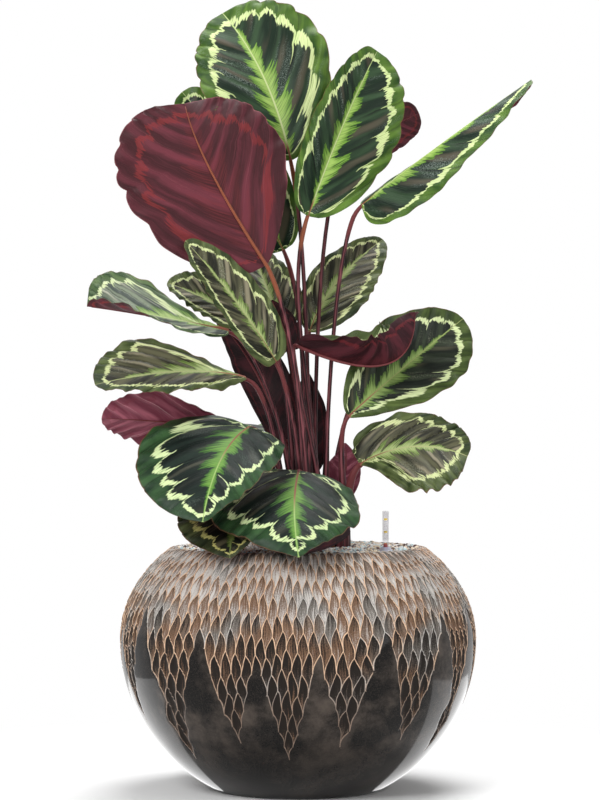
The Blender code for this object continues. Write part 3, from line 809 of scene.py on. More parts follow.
def leaf_marks():
    """Masks of a blade's markings, read from its two UV maps.

    The ring lies at a distance from the margin that arches out in each band. There it starts thick at the
    tip's side, thins towards the base's side, and ends in a spur that runs inwards along the side vein. Fine
    noise along the bands makes its edges jagged. The tufts reach out from the midrib: each starts abruptly
    at the tip's side of its band, shrinks towards the other side, and is feathered along the veins. Depth is
    0 in a tuft beside the midrib and 1 at its ends.
    """
    sizes = {"Ring Width": 0.05, "Ring Place": 0.225, "Scallop": 0.06, "Tuft Length": 0.3, "Spur": 0.12}
    outputs = [
        "Ring", "Tuft", "Depth", "Inside", "StripeAndPleatShade", "CreaseShade", "Fine", "Haze", "SheenGrain", "Vein", "Along",
        "Reach", "Edge",
    ]
    group, tree, given, out = new_group("leaf_marks", sizes, outputs)
    band, reach, _ = tree.uv("bands")
    along, edge, _ = tree.uv("border")
    within = tree.math("FRACT", band)
    behind = tree.less(1.0, within)

    def banded(repeats, stretch, offset, detail=1.0):
        """Noise about 0 that changes quickly across the bands and slowly along them."""
        place = tree.pair(tree.times(band, repeats), tree.scaled(reach, stretch, offset))
        return tree.less(tree.noise(place, 1.0, detail), 0.5)

    outer_jag = banded(12.0, 5.0, 0.0)
    inner_jag = banded(11.0, 5.0, 9.0)
    tuft_jag = banded(13.0, 5.0, 17.0, 2.0)
    slow = banded(0.7, 0.0, 3.0, 0.0)

    # The ring between its outer and its inner edge, both measured from the margin.
    arches = tree.math("POWER", tree.size(tree.scaled(within, 2.0, -1.0)), 2.0)
    scallop = tree.times(tree.step(along, 1.0, 0.8), tree.step(along, 0.0, 0.15))
    scallop = tree.times(scallop, given["Scallop"])
    middle = tree.scaled(arches, scallop, given["Ring Place"])
    middle = tree.scaled(slow, 0.14, middle)
    width = tree.scaled(tree.step(within, 0.0, 0.6), 0.6, 0.42)
    width = tree.times(tree.times(width, given["Ring Width"]), tree.scaled(slow, 1.3, 1.0))
    width = tree.times(width, tree.scaled(tree.step(along, 0.04, 0.3), 0.6, 0.4))
    spur = tree.times(tree.step(within, 0.12, 0.0), tree.scaled(slow, 0.3, given["Spur"]))
    spur = tree.times(spur, tree.step(along, 0.92, 0.74))
    lean = tree.times(tree.step(within, 0.07, 0.0), 0.03)
    outer = tree.plus(tree.less(middle, width), lean)
    inner = tree.plus(tree.plus(middle, width), spur)
    outer = tree.scaled(outer_jag, 0.12, outer)
    inner = tree.scaled(inner_jag, 0.2, inner)
    past_outer = tree.step(tree.less(edge, outer), -0.01, 0.01)
    past_inner = tree.step(tree.less(edge, inner), -0.01, 0.01)
    tree.put(out["Ring"], tree.times(past_outer, tree.less(1.0, past_inner)))
    tree.put(out["Inside"], past_outer)

    # The tufts, as far out from the midrib as their length there.
    taper = tree.scaled(tree.step(along, 0.0, 0.3), 0.8, 0.1)
    taper = tree.times(taper, tree.step(along, 1.02, 0.35))
    crest = tree.times(tree.step(within, -0.25, 0.75), tree.step(within, 1.0, 0.86))
    crest = tree.scaled(crest, 0.85, 0.15)
    feather = tree.scaled(tuft_jag, 2.1, 0.98)
    tuft = tree.times(tree.times(taper, crest), given["Tuft Length"])
    tuft = tree.times(tuft, feather)
    tree.put(out["Tuft"], tree.step(tree.less(reach, tuft), 0.008, -0.008))
    tree.put(out["Depth"], tree.step(tree.math("DIVIDE", reach, tree.math("MAXIMUM", tuft, 0.02)), 0.2, 1.0))

    # Stripes along the side veins, partly random tone and partly painted pleat shading (one half of each band
    # lit, the other shaded), painted shade in the creases, grain, and a painted whitish sheen.
    pleat_light = tree.math("COSINE", tree.scaled(within, 2 * math.pi, 0.8))
    stripe_and_pleat_shade = tree.scaled(pleat_light, 0.13, banded(2.6, 1.4, 30.0, 2.0))
    tree.put(out["StripeAndPleatShade"], tree.step(stripe_and_pleat_shade, -0.12, 0.24))
    # Painted shade in the crease on one side of each side vein.
    crease = tree.times(tree.step(behind, 0.2, 0.0), tree.step(reach, 0.12, 0.4))
    tree.put(out["CreaseShade"], tree.times(crease, tree.step(slow, -0.12, 0.04)))
    tree.put(out["Fine"], tree.plus(banded(30.0, 4.0, 40.0, 2.0), 0.5))
    centre = tree.size(tree.less(within, 0.45))
    haze = tree.times(tree.step(centre, 0.2, 0.05), tree.step(banded(0.9, 1.2, 50.0), -0.05, 0.12))
    tree.put(out["Haze"], haze)
    # Painted whitish sheen: fine grain in slow patches.
    grain = tree.step(tree.specks(850.0, 2.0), 0.42, 0.7)
    patches = tree.step(banded(1.7, 1.0, 60.0, 2.0), 0.02, 0.2)
    tree.put(out["SheenGrain"], tree.times(grain, patches))
    tree.put(out["Vein"], tree.times(tree.step(within, 0.045, 0.0), tree.step(reach, 0.1, 0.4)))
    tree.put(out["Along"], along)
    tree.put(out["Reach"], reach)
    tree.put(out["Edge"], edge)
    return group


def upper_finish(look, marks, palettes, blades):
    """The upper side: dark striped field with painted pleat shading, painted crease shade and a painted
    whitish sheen, lime tufts, cream ring, green margin and a thin pale midrib.
    """
    shade = {part: getattr(palettes, f"{look}_{part}") for part in PALETTE_PARTS}
    habit = HABITS[look]
    material, tree, shader = new_material(f"leaf_{look}", Specular_IOR_Level=0.16)
    mark = tree.group(marks, {"Ring Width": habit.ring, "Scallop": habit.scallop})
    # Painted pleat shading: the field turns light on one half of each band and dark on the other, with random
    # tone.
    field = tree.blend(mark["StripeAndPleatShade"], shade["field"], shade["field_light"])
    field = tree.blend(tree.times(mark["Haze"], 0.7), field, shade["haze"])
    field = tree.blend(tree.times(tree.step(mark["Fine"], 0.5, 0.85), 0.6), field, shade["field_light"])
    # Painted sheen on the field.
    field = tree.blend(tree.times(mark["SheenGrain"], 0.4), field, shade["frost"])
    field = tree.blend(tree.times(mark["Vein"], 0.35), field, shade["field_light"])
    # Painted crease shade on the field.
    field = tree.blend(tree.times(mark["CreaseShade"], 0.85), field, shade["crease"])
    patches = tree.step(tree.specks(34.0, 2.0), 0.38, 0.66)
    # The margin's light patches are half random patches and half painted pleat shading.
    patches = tree.scaled(mark["StripeAndPleatShade"], 0.5, tree.times(patches, 0.5))
    margin = tree.blend(patches, shade["margin"], shade["margin_light"])
    margin = tree.blend(tree.times(tree.step(mark["Fine"], 0.5, 0.9), 0.5), margin, shade["field"])
    # Painted sheen on the margin.
    margin = tree.blend(tree.times(mark["SheenGrain"], 0.22), margin, shade["frost"])
    # Painted crease shade on the margin.
    margin = tree.blend(tree.times(mark["CreaseShade"], 0.5), margin, shade["crease"])
    margin = tree.blend(tree.times(tree.step(mark["Edge"], 0.02, 0.006), 0.75), margin, blades.hem)
    skin = tree.blend(mark["Inside"], margin, field)
    tuft = tree.blend(mark["Depth"], shade["tuft_light"], shade["tuft"])
    dark = tree.scaled(mark["Depth"], 0.5, 0.42)
    dark = tree.times(tree.step(mark["Fine"], 0.56, 0.36), dark)
    tuft = tree.blend(dark, tuft, shade["margin"])
    skin = tree.blend(mark["Tuft"], skin, tuft)
    ring = tree.blend(tree.step(mark["Fine"], 0.24, 0.5), shade["tuft"], shade["ring"])
    skin = tree.blend(mark["Ring"], skin, ring)
    rib_width = tree.scaled(mark["Along"], -0.009, 0.0135)
    brown = tree.step(mark["Along"], habit.rib, 0.5 * habit.rib)
    rib = tree.blend(brown, shade["rib"], blades.rib_base)
    on_rib = tree.step(tree.less(mark["Reach"], rib_width), 0.006, -0.004)
    skin = tree.blend(on_rib, skin, rib)
    roughness = tree.scaled(mark["StripeAndPleatShade"], 0.12, 0.36)
    relief = tree.less(mark["Fine"], mark["Vein"])
    tree.coat(shader, skin, roughness, tree.bump(relief, 0.0006, 0.7))
    return material


def lower_finish(under, marks, palettes):
    """The underside: darker and lighter bands along the side veins, partly painted fold shading and partly
    random tone, with a soft red ring and red tufts.
    """
    shade = {part: getattr(palettes, f"{under}_{part}") for part in UNDER_PARTS}
    material, tree, shader = new_material(f"leaf_{under}", Specular_IOR_Level=0.14)
    mark = tree.group(marks, {"Ring Width": 0.045, "Tuft Length": 0.4, "Spur": 0.03})
    # Painted fold shading: a dark and a light half in each band, with random tone.
    skin = tree.blend(mark["StripeAndPleatShade"], shade["dark"], shade["light"])
    skin = tree.blend(tree.times(tree.step(mark["Fine"], 0.4, 0.8), 0.35), skin, shade["light"])
    skin = tree.blend(tree.times(mark["Haze"], 0.5), skin, shade["dark"])
    glow = tree.times(mark["Tuft"], tree.step(mark["Fine"], 0.25, 0.9))
    skin = tree.blend(tree.times(glow, 0.32), skin, shade["ring"])
    ring = tree.times(mark["Ring"], tree.scaled(tree.step(mark["Fine"], 0.2, 0.8), 0.4, 0.35))
    skin = tree.blend(ring, skin, shade["ring"])
    outside = tree.times(tree.less(1.0, mark["Inside"]), 0.4)
    skin = tree.blend(outside, skin, shade["dark"])
    skin = tree.blend(tree.times(mark["Vein"], 0.3), skin, shade["vein"])
    skin = tree.blend(tree.step(mark["Edge"], 0.014, 0.004), skin, shade["vein"])
    roughness = tree.scaled(mark["StripeAndPleatShade"], 0.1, 0.46)
    relief = tree.plus(mark["Fine"], mark["Vein"])
    tree.coat(shader, skin, roughness, tree.bump(relief, 0.0006, 0.6))
    return material


class CALATHEA_OT_blades(Operator):
    """Build the leaf blades"""

    bl_idname = "calathea.blades"
    bl_label = "Leaf blades"

    def execute(self, context):
        """Make the finishes, then one closed blade for each leaf."""
        palettes, blades = context.scene.calathea.palettes, context.scene.calathea.blades
        marks = leaf_marks()
        above = {look: upper_finish(look, marks, palettes, blades) for look in PALETTES}
        below = {under: lower_finish(under, marks, palettes) for under in UNDERSIDES}
        for number, leaf in enumerate(LEAVES):
            build_blade(leaf, number, blades, above[leaf.look], below[leaf.under])
        return {"FINISHED"}


# ------------------------------------------------------------------------------------------------- stems

STEM_POINTS = 30  # along the stalk
MIDRIB_POINTS = 22  # along the midrib below the blade
TALL = ("tall_purple", "top_left", "top_right")  # whose joints are orange-brown
SHEATH = 165 * MM  # length of the stalk's thick foot
JOINT_DROP = 2.2 * MM  # how far the stalk's end lies below the midrib
MIDRIB_RADIUS = 1.8 * MM  # at the base, less from there to the tip
MIDRIB_END = 0.25 * MM  # radius that it keeps at the tip
MIDRIB_DROP = 0.15 * MM  # from the blade's middle down to the top of the midrib
# The line along a stalk is a painted highlight.
HIGHLIGHT_STRONGER = (0.5, 0.34)  # heights between which the light line along a stalk gets stronger downwards


def stalk_foot(leaf):
    """The stalk's foot on the crown's flat top."""
    ring, degrees = leaf.foot
    angle = math.radians(degrees)
    return np.array([
        CROWN_MIDDLE.x + ring * FOOT_RING * math.cos(angle),
        CROWN_MIDDLE.y + ring * FOOT_RING * math.sin(angle),
        CROWN_HIGH.z,
    ])


def stalk_points(leaf, t):
    """A cubic Bezier that rises from the foot and arrives along the midrib."""
    foot = stalk_foot(leaf)
    rib = blade_frame(leaf, np.array([0.0, 0.001]))[0]
    along = unit(rib[1] - rib[0])
    span = np.linalg.norm(rib[0] - foot)
    up = np.array([0, 0, 0.4 * span])
    before = rib[0] - along * leaf.arch * span
    t = np.asarray(t)[..., None]
    left = 1 - t
    return left**3 * foot + 3 * left**2 * t * (foot + up) + 3 * left * t**2 * before + t**3 * rib[0]


def swept(name, path, radii, sides, material, marks):
    """A closed tube: circles of those radii, square to the path, carried along it, with capped ends.

    Its UV map "stem" holds the marks along the path, and how far round a point is from the line opposite
    its first column, from 0 to 1.
    """
    along = unit(np.gradient(path, axis=0))
    side = unit(np.cross(along, [0.31, 0.93, 0.2]))
    other = np.cross(along, side)
    angle = once_round(sides)
    circle = np.cos(angle)[None, :, None] * side[:, None] + np.sin(angle)[None, :, None] * other[:, None]
    points = path[:, None] + circle * radii[:, None, None]
    points = np.concatenate([points.reshape(-1, 3), path[:1], path[-1:]])
    rows = len(path)
    start = fan(rows * sides, 0, sides, forward=False)
    end = fan(rows * sides + 1, (rows - 1) * sides, sides)
    around = np.append(np.tile(np.abs(angle / math.pi - 1), rows), [0, 0])
    marks = np.concatenate([np.repeat(marks, sides), marks[:1], marks[-1:]])
    maps = {"stem": np.stack([marks, around], axis=1)}
    return new_piece(name, points, [wrapped_faces(rows, sides), start, end], [material], uv_maps=maps)


def build_stem(leaf, sizes, material):
    """One stalk, thick at its foot and at the joint under the blade, running on as the midrib below it."""
    step = np.linspace(0, 1, STEM_POINTS)
    stalk = stalk_points(leaf, step**2 * (3 - 2 * step))
    run = np.append(0, np.cumsum(np.linalg.norm(np.diff(stalk, axis=0), axis=1)))
    left = run[-1] - run
    joint = smooth(left, sizes.joint_length * 1.25, sizes.joint_length * 0.8)
    sheath = smooth(run, SHEATH, 0.0)
    end = smooth(left, sizes.joint_length * 0.5, 0.0)
    radii = sizes.radius * (1 + 0.12 * joint - 0.2 * end) + (sizes.foot_radius - sizes.radius) * sheath
    u = np.linspace(0.03, 0.97, MIDRIB_POINTS)
    rib, _, upper, _ = blade_frame(leaf, u)
    thin = MIDRIB_RADIUS * (1 - u) + MIDRIB_END
    stalk = stalk - blade_frame(leaf, np.zeros(1))[2] * (JOINT_DROP * end)[:, None]
    path = np.concatenate([stalk, rib - upper * (thin + MIDRIB_DROP)[:, None]])
    marks = np.concatenate([joint, 1 + u])
    item = swept(f"{leaf.name}_stem", path, np.concatenate([radii, thin]), sizes.sides, material, marks)
    dress(item, "root", "stalk", f"{leaf.name}_stalk")


def stem_finish(name, stems, joint_colour):
    """Satin maroon skin with soft pale streaks along it, turning into the joint's colour under the blade.

    A painted highlight line, stronger low down, runs along two sides of each stalk.
    """
    material, tree, shader = new_material(name, Specular_IOR_Level=0.15)
    joint, around, _ = tree.uv("stem")
    drawn_out = tree.add("Mapping", {"Vector": tree.place(), "Scale": (1.0, 1.0, 0.08)}).outputs[0]
    streaks = tree.step(tree.noise(drawn_out, 330.0, 1.0), 0.42, 0.78)
    # Painted highlight: a pale line along two sides of each stalk, stronger low down.
    lit = tree.step(tree.size(tree.less(around, 0.42)), 0.16, 0.02)
    height = tree.parts(tree.place())[2]
    low = tree.step(height, *HIGHLIGHT_STRONGER)
    skin = tree.blend(tree.times(streaks, 0.55), stems.skin, stems.streak_and_highlight)
    skin = tree.blend(tree.times(lit, tree.scaled(low, 0.3, 0.36)), skin, stems.streak_and_highlight)
    skin = tree.blend(tree.step(joint, 0.1, 0.9), skin, joint_colour)
    tree.coat(shader, skin, tree.scaled(streaks, 0.15, 0.38), tree.bump(streaks, 0.0003, 0.5))
    return material


class CALATHEA_OT_stems(Operator):
    """Build the stalks, each with the midrib that it runs on into"""

    bl_idname = "calathea.stems"
    bl_label = "Stalks"

    def execute(self, context):
        """Make the two skins, then one stem for each leaf."""
        sizes = context.scene.calathea.stems
        bright = stem_finish("stem_bright_joint", sizes, sizes.joint)
        dull = stem_finish("stem_dull_joint", sizes, sizes.dull_joint)
        for leaf in LEAVES:
            build_stem(leaf, sizes, bright if leaf.name in TALL else dull)
        return {"FINISHED"}


# --------------------------------------------------------------------------------------------------- pot

EQUATOR = 182 * MM  # height of the widest place
LOWER_RISE = 205 * MM  # upright half axis of the ellipse below it
UPPER_RISE = 157 * MM  # and of the ellipse above it
LIP_RADIUS = 12 * MM  # of the lip's rounded section
LIP_START = 43  # degrees above the equator, round the upper ellipse, where the lip begins
LIP_END = 200  # degrees round the lip's arc, where it ends inside the pot
# The points of the carving's hem: degrees from the front towards the right, the height of the point, and the
# height of the bare notch to its right, in millimetres.
DRIPS = (
    (-171, 60, 210), (-150, 76, 190), (-130, 54, 205), (-108, 74, 220), (-87, 58, 200), (-67, 76, 215),
    (-46, 52, 205), (-22.5, 74, 183), (-2.7, 52, 158), (17, 74, 207), (38.7, 72, 225), (62, 56, 200),
    (84, 76, 215), (105, 54, 190), (126, 74, 205), (147, 56, 220), (168, 76, 200),
)
LIP_POINTS, UPPER_POINTS, LOWER_POINTS = 60, 160, 300  # of the section before it is divided into rows
BARE_BELOW = 44 * MM  # where the mesh gets coarse
INNER_ROW, BARE_ROW = 1.6, 3  # height of a mesh row inside the lip and on the bare foot, in carved rows
FIRST_ROW = 0.13  # of a scoop that the rim cuts off
HEM_SHIFT = 0.2  # of its height below its middle, where a scoop has to lie above the hem to be carved
ARCHED = 2.2  # how quickly a scoop widens below its top
# Slow sines that keep the scoops from being alike: height, times round the pot, times down it, and start.
COLUMN_DRIFT = ((0.45, 5, 0, 2.27), (0.06, 7, 9, 0), (0.04, 13, -5, 1))
ROW_DRIFT = ((0.06, 11, 2, 0), (0.05, 23, 0, 1.3), (0.05, 41, 0, 0))
# Heights in metres between which the pot's finish changes.
SCOOPS_LIGHTER = (0.12, 0.27)
GLAZE_CLOUDIER = (0.03, 0.12)
LIP_DUSTIER = (0.281, 0.29)
RIDGES_DARKER = (0.2, 0.09)


def ellipse_point(rise, angle):
    """Point of the pot's upright section at an angle round from the equator, in degrees."""
    return POT_HIGH.x * np.cos(np.radians(angle)), EQUATOR + rise * np.sin(np.radians(angle))


def lip_arc():
    """Centre of the lip's arc, as (radius, height), and the angle round it where it meets the wall."""
    start = math.radians(LIP_START)
    normal = math.atan2(POT_HIGH.x * math.sin(start), UPPER_RISE * math.cos(start))
    begin = ellipse_point(UPPER_RISE, LIP_START)
    return (begin[0] - LIP_RADIUS * math.cos(normal), begin[1] - LIP_RADIUS * math.sin(normal)), normal


def pot_section(row):
    """The pot's section as (radius, height) points, from inside the lip, over it and down to the foot's rim.

    The wall is a lower and an upper quarter ellipse that meet at the equator, and the lip is an arc tangent
    to the upper one. Points lie a row apart where the wall is carved, and further apart elsewhere. Also
    returns the length along the section up to each point.
    """
    centre, normal = lip_arc()
    turn = np.linspace(math.radians(LIP_END), normal, LIP_POINTS)
    lip = np.stack([centre[0] + LIP_RADIUS * np.cos(turn), centre[1] + LIP_RADIUS * np.sin(turn)], axis=1)
    foot = -math.degrees(math.asin(EQUATOR / LOWER_RISE))
    upper = np.stack(ellipse_point(UPPER_RISE, np.linspace(LIP_START, 0, UPPER_POINTS)), axis=1)
    lower = np.stack(ellipse_point(LOWER_RISE, np.linspace(0, foot, LOWER_POINTS)), axis=1)
    section = np.concatenate([lip, upper[1:], lower[1:]])
    run = np.append(0, np.cumsum(np.linalg.norm(np.diff(section, axis=0), axis=1)))
    inner = np.arange(len(section)) < section[:, 1].argmax()
    outer = np.where(section[:, 1] < BARE_BELOW, BARE_ROW * row, row)
    rows = np.cumsum(np.gradient(run) / np.where(inner, INNER_ROW * row, outer))
    even = np.interp(np.linspace(rows[0], rows[-1], int(rows[-1] - rows[0]) + 1), rows, run)
    return np.stack([np.interp(even, run, section[:, 0]), np.interp(even, run, section[:, 1])], axis=1), even


def scoop_edge(down):
    """How far the edge between two scoops stands aside of its middle, in columns, from -1/4 to 1/4.

    It swings out quickly below a scoop's top and ever more slowly towards the widest place, so that a scoop
    has an arched top and a long pointed end: what is left of the way falls with a power of the distance.
    """
    phase = down - np.floor(down)
    half = 2 * down - np.floor(2 * down)
    return (0.25 - 0.5 * (1 - half) ** ARCHED) * np.where(phase < 0.5, 1, -1)


def hem_height(column, scoops):
    """Height where the carving ends: straight runs between the tips of the drips and the notches."""
    tips, low, high = np.array(DRIPS).T
    gaps = (np.roll(tips, -1) - tips) % 360
    places = np.stack([tips, tips + gaps / 2], axis=1).ravel()
    heights = np.stack([low, high], axis=1).ravel()
    front = column / scoops * 360 - 270
    return np.interp(front, places, heights, period=360) * MM


def drifted(value, turn, down, sines):
    """The value plus sines of the turn round the pot and of the way down it."""
    for height, around, along, start in sines:
        value = value + height * np.sin(around * turn + along * down + start)
    return value


def build_pot(sizes, material):
    """The pot: its section carried round the axis, with each scoop pressed in, and a flat closed foot.

    Columns count scoops round the pot, and down counts scoop heights from the rim. Half of the scoops have
    their middle at a quarter of a column and start at whole numbers of down. The other half fill the space
    between them, half a column aside and half a scoop lower. A scoop is a parabola across, and fades
    towards its lower end.
    """
    section, run = pot_section(sizes.row)
    around = sizes.scoops * sizes.samples
    angle = once_round(around)
    start = run[section[:, 1].argmax()]
    turn, along = np.meshgrid(angle, run, indexing="xy")
    column = turn / (2 * math.pi) * sizes.scoops
    down = FIRST_ROW + (along - start) / sizes.scoop_height
    column, down = drifted(column, turn, down, COLUMN_DRIFT), drifted(down, turn, down, ROW_DRIFT)
    edge = scoop_edge(down)
    press, flags = 0, []
    for shift, width in ((0.25, 0.25 + edge), (0.75, 0.25 - edge)):
        nth = np.floor(column - shift + 0.5)
        order = np.floor(down + (0.5 if shift > 0.5 else 0))
        middle_down = order + (0 if shift > 0.5 else 0.5)
        there = start + (middle_down - FIRST_ROW + HEM_SHIFT) * sizes.scoop_height
        height_there = np.interp(there, run, section[:, 1])
        carved = (height_there > hem_height(nth + shift, sizes.scoops)).astype(float)
        across = np.clip(np.abs(column - nth - shift) / np.maximum(width, 1e-4), 0, 1)
        fall = down - middle_down + 0.5
        depth = (1 - across**2) * np.sqrt(np.clip(2 * width, 0, 1)) * (1.25 - 0.6 * fall)
        press = press + depth * carved * (across < 1)
        flags.append(carved)
    press = press * sizes.scoop_depth * smooth(along, start - 1 * MM, start + 3 * MM)
    inward = np.gradient(section, axis=0)
    inward = unit(np.stack([inward[:, 1], -inward[:, 0]], axis=1))
    radius = section[:, :1] + inward[:, :1] * press
    level = section[:, 1:] + inward[:, 1:] * press
    points = np.stack([radius * np.cos(turn), radius * np.sin(turn), level], axis=-1)
    rows = len(section)
    points = np.concatenate([points.reshape(-1, 3), [[0, 0, POT_LOW.z]]])
    foot = fan(rows * around, (rows - 1) * around, around, forward=False)
    faces = wrapped_faces(rows, around)[:, ::-1]
    loops = np.concatenate([faces.ravel(), foot.ravel()])
    pattern = np.append(np.stack([column.ravel(), down.ravel()], axis=1), [[0, 9]], axis=0)[loops]
    shape = np.append(np.stack([flags[0].ravel(), flags[1].ravel()], axis=1), [[0, 0]], axis=0)[loops]
    corner = faces % around
    seam = np.zeros(len(loops), bool)
    seam[: faces.size] = ((corner.max(axis=1) - corner.min(axis=1) > 1)[:, None] & (corner == 0)).ravel()
    pattern[seam, 0] += sizes.scoops
    maps = {"pattern": pattern, "carved": shape}
    item = new_piece("carved_pot", points, [faces, foot], [material], uv_maps=maps)
    dress(item, "root", "pot", "pot")


def scoop_marks():
    """The lattice of scoops, read from the pot's UV maps with the same rule as its mesh.

    Edge is how far a point is from the nearest edge between scoops, in columns. Carved is 1 in a carved
    scoop, and Bordered beside one. Fall runs from 0 at the scoop's top to 1 at its end, and Chance is a
    number of the scoop's own.
    """
    group, tree, _, out = new_group("scoop_marks", {}, ["Edge", "Carved", "Bordered", "Fall", "Chance"])
    column, down, _ = tree.uv("pattern")
    carved_first, carved_second, _ = tree.uv("carved")
    half = tree.math("FRACT", tree.times(down, 2.0))
    swing = tree.math("POWER", tree.less(1.0, half), ARCHED)
    swing = tree.scaled(swing, -0.5, 0.25)
    side = tree.scaled(tree.math("LESS_THAN", tree.math("FRACT", down), 0.5), 2.0, -1.0)
    swing = tree.times(swing, side)
    from_middle = tree.less(tree.math("FRACT", tree.plus(column, 0.25)), 0.5)
    outside = tree.less(tree.size(from_middle), tree.plus(swing, 0.25))
    first = tree.math("LESS_THAN", outside, 0.0)
    second = tree.less(1.0, first)
    tree.put(out["Edge"], tree.size(outside))
    tree.put(out["Carved"], tree.plus(tree.times(first, carved_first), tree.times(second, carved_second)))
    tree.put(out["Bordered"], tree.math("MAXIMUM", carved_first, carved_second))
    lowered = tree.scaled(second, 0.5, down)
    tree.put(out["Fall"], tree.math("FRACT", lowered))
    beside = tree.scaled(second, -0.5, tree.plus(column, 0.25))
    cell = tree.pair(tree.math("FLOOR", beside), tree.math("FLOOR", lowered), first)
    tree.put(out["Chance"], tree.add("TexWhiteNoise", {"Vector": cell}).outputs["Value"])
    return group


def pot_finish(sizes):
    """Carved earthenware over dark glaze.

    Bare pale edges run between the scoops. A scoop's lightness is a sum: its height on the pot, a painted
    shade at its top that turns into painted light at its lower end, upright strokes, fine grain, and slow
    patches round the pot, less a painted shadow beside its edges. Below the carving, the glaze is cloudy.
    """
    material, tree, shader = new_material("carved_glaze", Specular_IOR_Level=0.17)
    mark = tree.group(scoop_marks())
    height = tree.parts(tree.place())[2]
    fine = tree.specks(800.0, 2.0, 0.6)
    grain = tree.specks(330.0, 2.0)
    column, down, _ = tree.uv("pattern")
    drawn_out = tree.pair(tree.times(column, 8.0), tree.times(down, 1.1))
    strokes = tree.noise(drawn_out, 1.0, 3.0, 0.6)
    region = tree.specks(13.0, 3.0)
    near_rim = tree.step(height, *SCOOPS_LIGHTER)
    on_carving = tree.step(mark["Carved"], 0.35, 0.65)

    light = tree.scaled(near_rim, 0.92, -0.08)
    # Painted shade at the top of each scoop, turning into painted light at its lower end.
    light = tree.scaled(tree.less(mark["Fall"], 0.5), 1.0, light)
    light = tree.scaled(tree.less(strokes, 0.5), 1.6, light)
    light = tree.scaled(tree.less(region, 0.5), 0.6, light)
    light = tree.scaled(tree.less(fine, 0.5), 0.7, light)
    light = tree.scaled(tree.less(mark["Chance"], 0.5), 0.16, light)
    # Painted shadow in each scoop along its edges.
    beside = tree.step(mark["Edge"], 0.13, 0.04)
    light = tree.scaled(beside, -0.3, light)
    warm = tree.scaled(mark["Chance"], 0.2, tree.specks(19.0, 2.0))
    middle = tree.blend(tree.step(warm, 0.42, 0.68), sizes.dust, sizes.sand)
    # The dark colour takes the painted shade, and silver takes the painted light and the light strokes.
    bowl = tree.blend(tree.step(light, 0.0, 0.5), sizes.bark_and_shade, middle)
    bowl = tree.blend(tree.step(light, 0.45, 1.05), bowl, sizes.silver)

    clouds = tree.step(tree.specks(15.0, 6.0, 0.66), 0.4, 0.68)
    high = tree.step(height, *GLAZE_CLOUDIER)
    clouded = tree.times(clouds, tree.scaled(high, 0.6, 0.3))
    glaze = tree.blend(clouded, sizes.glaze, sizes.cloud)
    glaze = tree.blend(tree.times(tree.step(fine, 0.5, 0.72), 0.3), glaze, sizes.cloud)
    lip = tree.times(tree.step(height, *LIP_DUSTIER), tree.less(1.0, on_carving))
    glaze = tree.blend(tree.times(lip, 0.7), glaze, sizes.dust)
    skin = tree.blend(on_carving, glaze, bowl)

    half_line = tree.scaled(grain, 0.025, 0.031)
    edge = tree.step(tree.less(mark["Edge"], half_line), 0.02, -0.018)
    edge = tree.times(edge, tree.step(mark["Bordered"], 0.35, 0.65))
    ridge = tree.blend(tree.step(warm, 0.6, 0.42), sizes.ridge, sizes.ridge_pale)
    ridge = tree.blend(tree.step(height, *RIDGES_DARKER), ridge, sizes.ridge_low)
    worn = tree.times(edge, tree.scaled(tree.step(grain, 0.62, 0.4), 0.35, 0.65))
    skin = tree.blend(worn, skin, ridge)

    smooth_part = tree.scaled(clouds, 0.1, 0.07)
    roughness = tree.scaled(strokes, 0.24, 0.44)
    mixed = tree.add("Mix", {0: on_carving, 2: smooth_part, 3: roughness}, data_type="FLOAT").outputs[0]
    raised = tree.scaled(edge, 1.4, tree.times(strokes, on_carving))
    tree.coat(shader, skin, mixed, tree.bump(raised, 0.0009, 0.7))
    return material


class CALATHEA_OT_pot(Operator):
    """Build the carved pot"""

    bl_idname = "calathea.pot"
    bl_label = "Carved pot"

    def execute(self, context):
        """Make the glaze and the carved wall."""
        sizes = context.scene.calathea.pot
        build_pot(sizes, pot_finish(sizes))
        return {"FINISHED"}


# ---------------------------------------------------------------------------------------- gravel, crown

LIP_GAP = 0.6 * MM  # kept between the grit and the pot
RIM_PEBBLES = 5 * MM  # from the middle of the lip to the outermost pebbles
HEAPED_AT = 0.8  # share of the opening's radius at which the gravel has risen in full
AROUND_TUBE = (12 * MM, 30 * MM)  # distances from the tube's axis between which the gravel rises
BED_DEPTH = 3 * MM  # of the grit below the gravel's level
MOUND_DEPTH = 2 * MM  # of the crown's mound below the gravel's level
MOUND_RISE = 7 * MM  # of the mound above the crown's flat top, between the stalks
SPIRAL = math.pi * (3 - math.sqrt(5))  # the golden angle, from one pebble to the next


def opening():
    """Radius of the pot's mouth where the gravel meets the inside of the lip."""
    (radius, height), _ = lip_arc()
    return radius - math.sqrt(LIP_RADIUS**2 - (GRAVEL_HIGH.z - height) ** 2) - LIP_GAP


def ball():
    """A ball of 20 small triangles: an icosahedron, whose corners are those of three golden rectangles."""
    golden = (1 + math.sqrt(5)) / 2
    corners = [(0, a, b * golden) for a in (-1, 1) for b in (-1, 1)]
    corners = np.array(corners + [np.roll(c, 1) for c in corners] + [np.roll(c, 2) for c in corners], float)
    apart = np.linalg.norm(corners[:, None] - corners[None], axis=-1)
    near = np.abs(apart - 2) < 1e-6
    i, j, k = np.nonzero(near[:, :, None] & near[:, None, :] & near[None])
    triangles = np.stack([i, j, k], axis=1)[(i < j) & (j < k)]
    a, b, c = (corners[triangles[:, n]] for n in range(3))
    inward = (np.cross(b - a, c - a) * a).sum(axis=1) < 0
    triangles[inward] = triangles[inward][:, ::-1]
    return unit(corners), triangles


def heaped(sizes, share_out, from_tube):
    """How much the gravel rises above its level at the rim.

    share_out is the distance from the pot's axis as a share of the opening's radius, and from_tube is the
    distance from the tube's axis.
    """
    return sizes.heap * smooth(share_out, 1.0, HEAPED_AT) * smooth(from_tube, *AROUND_TUBE)


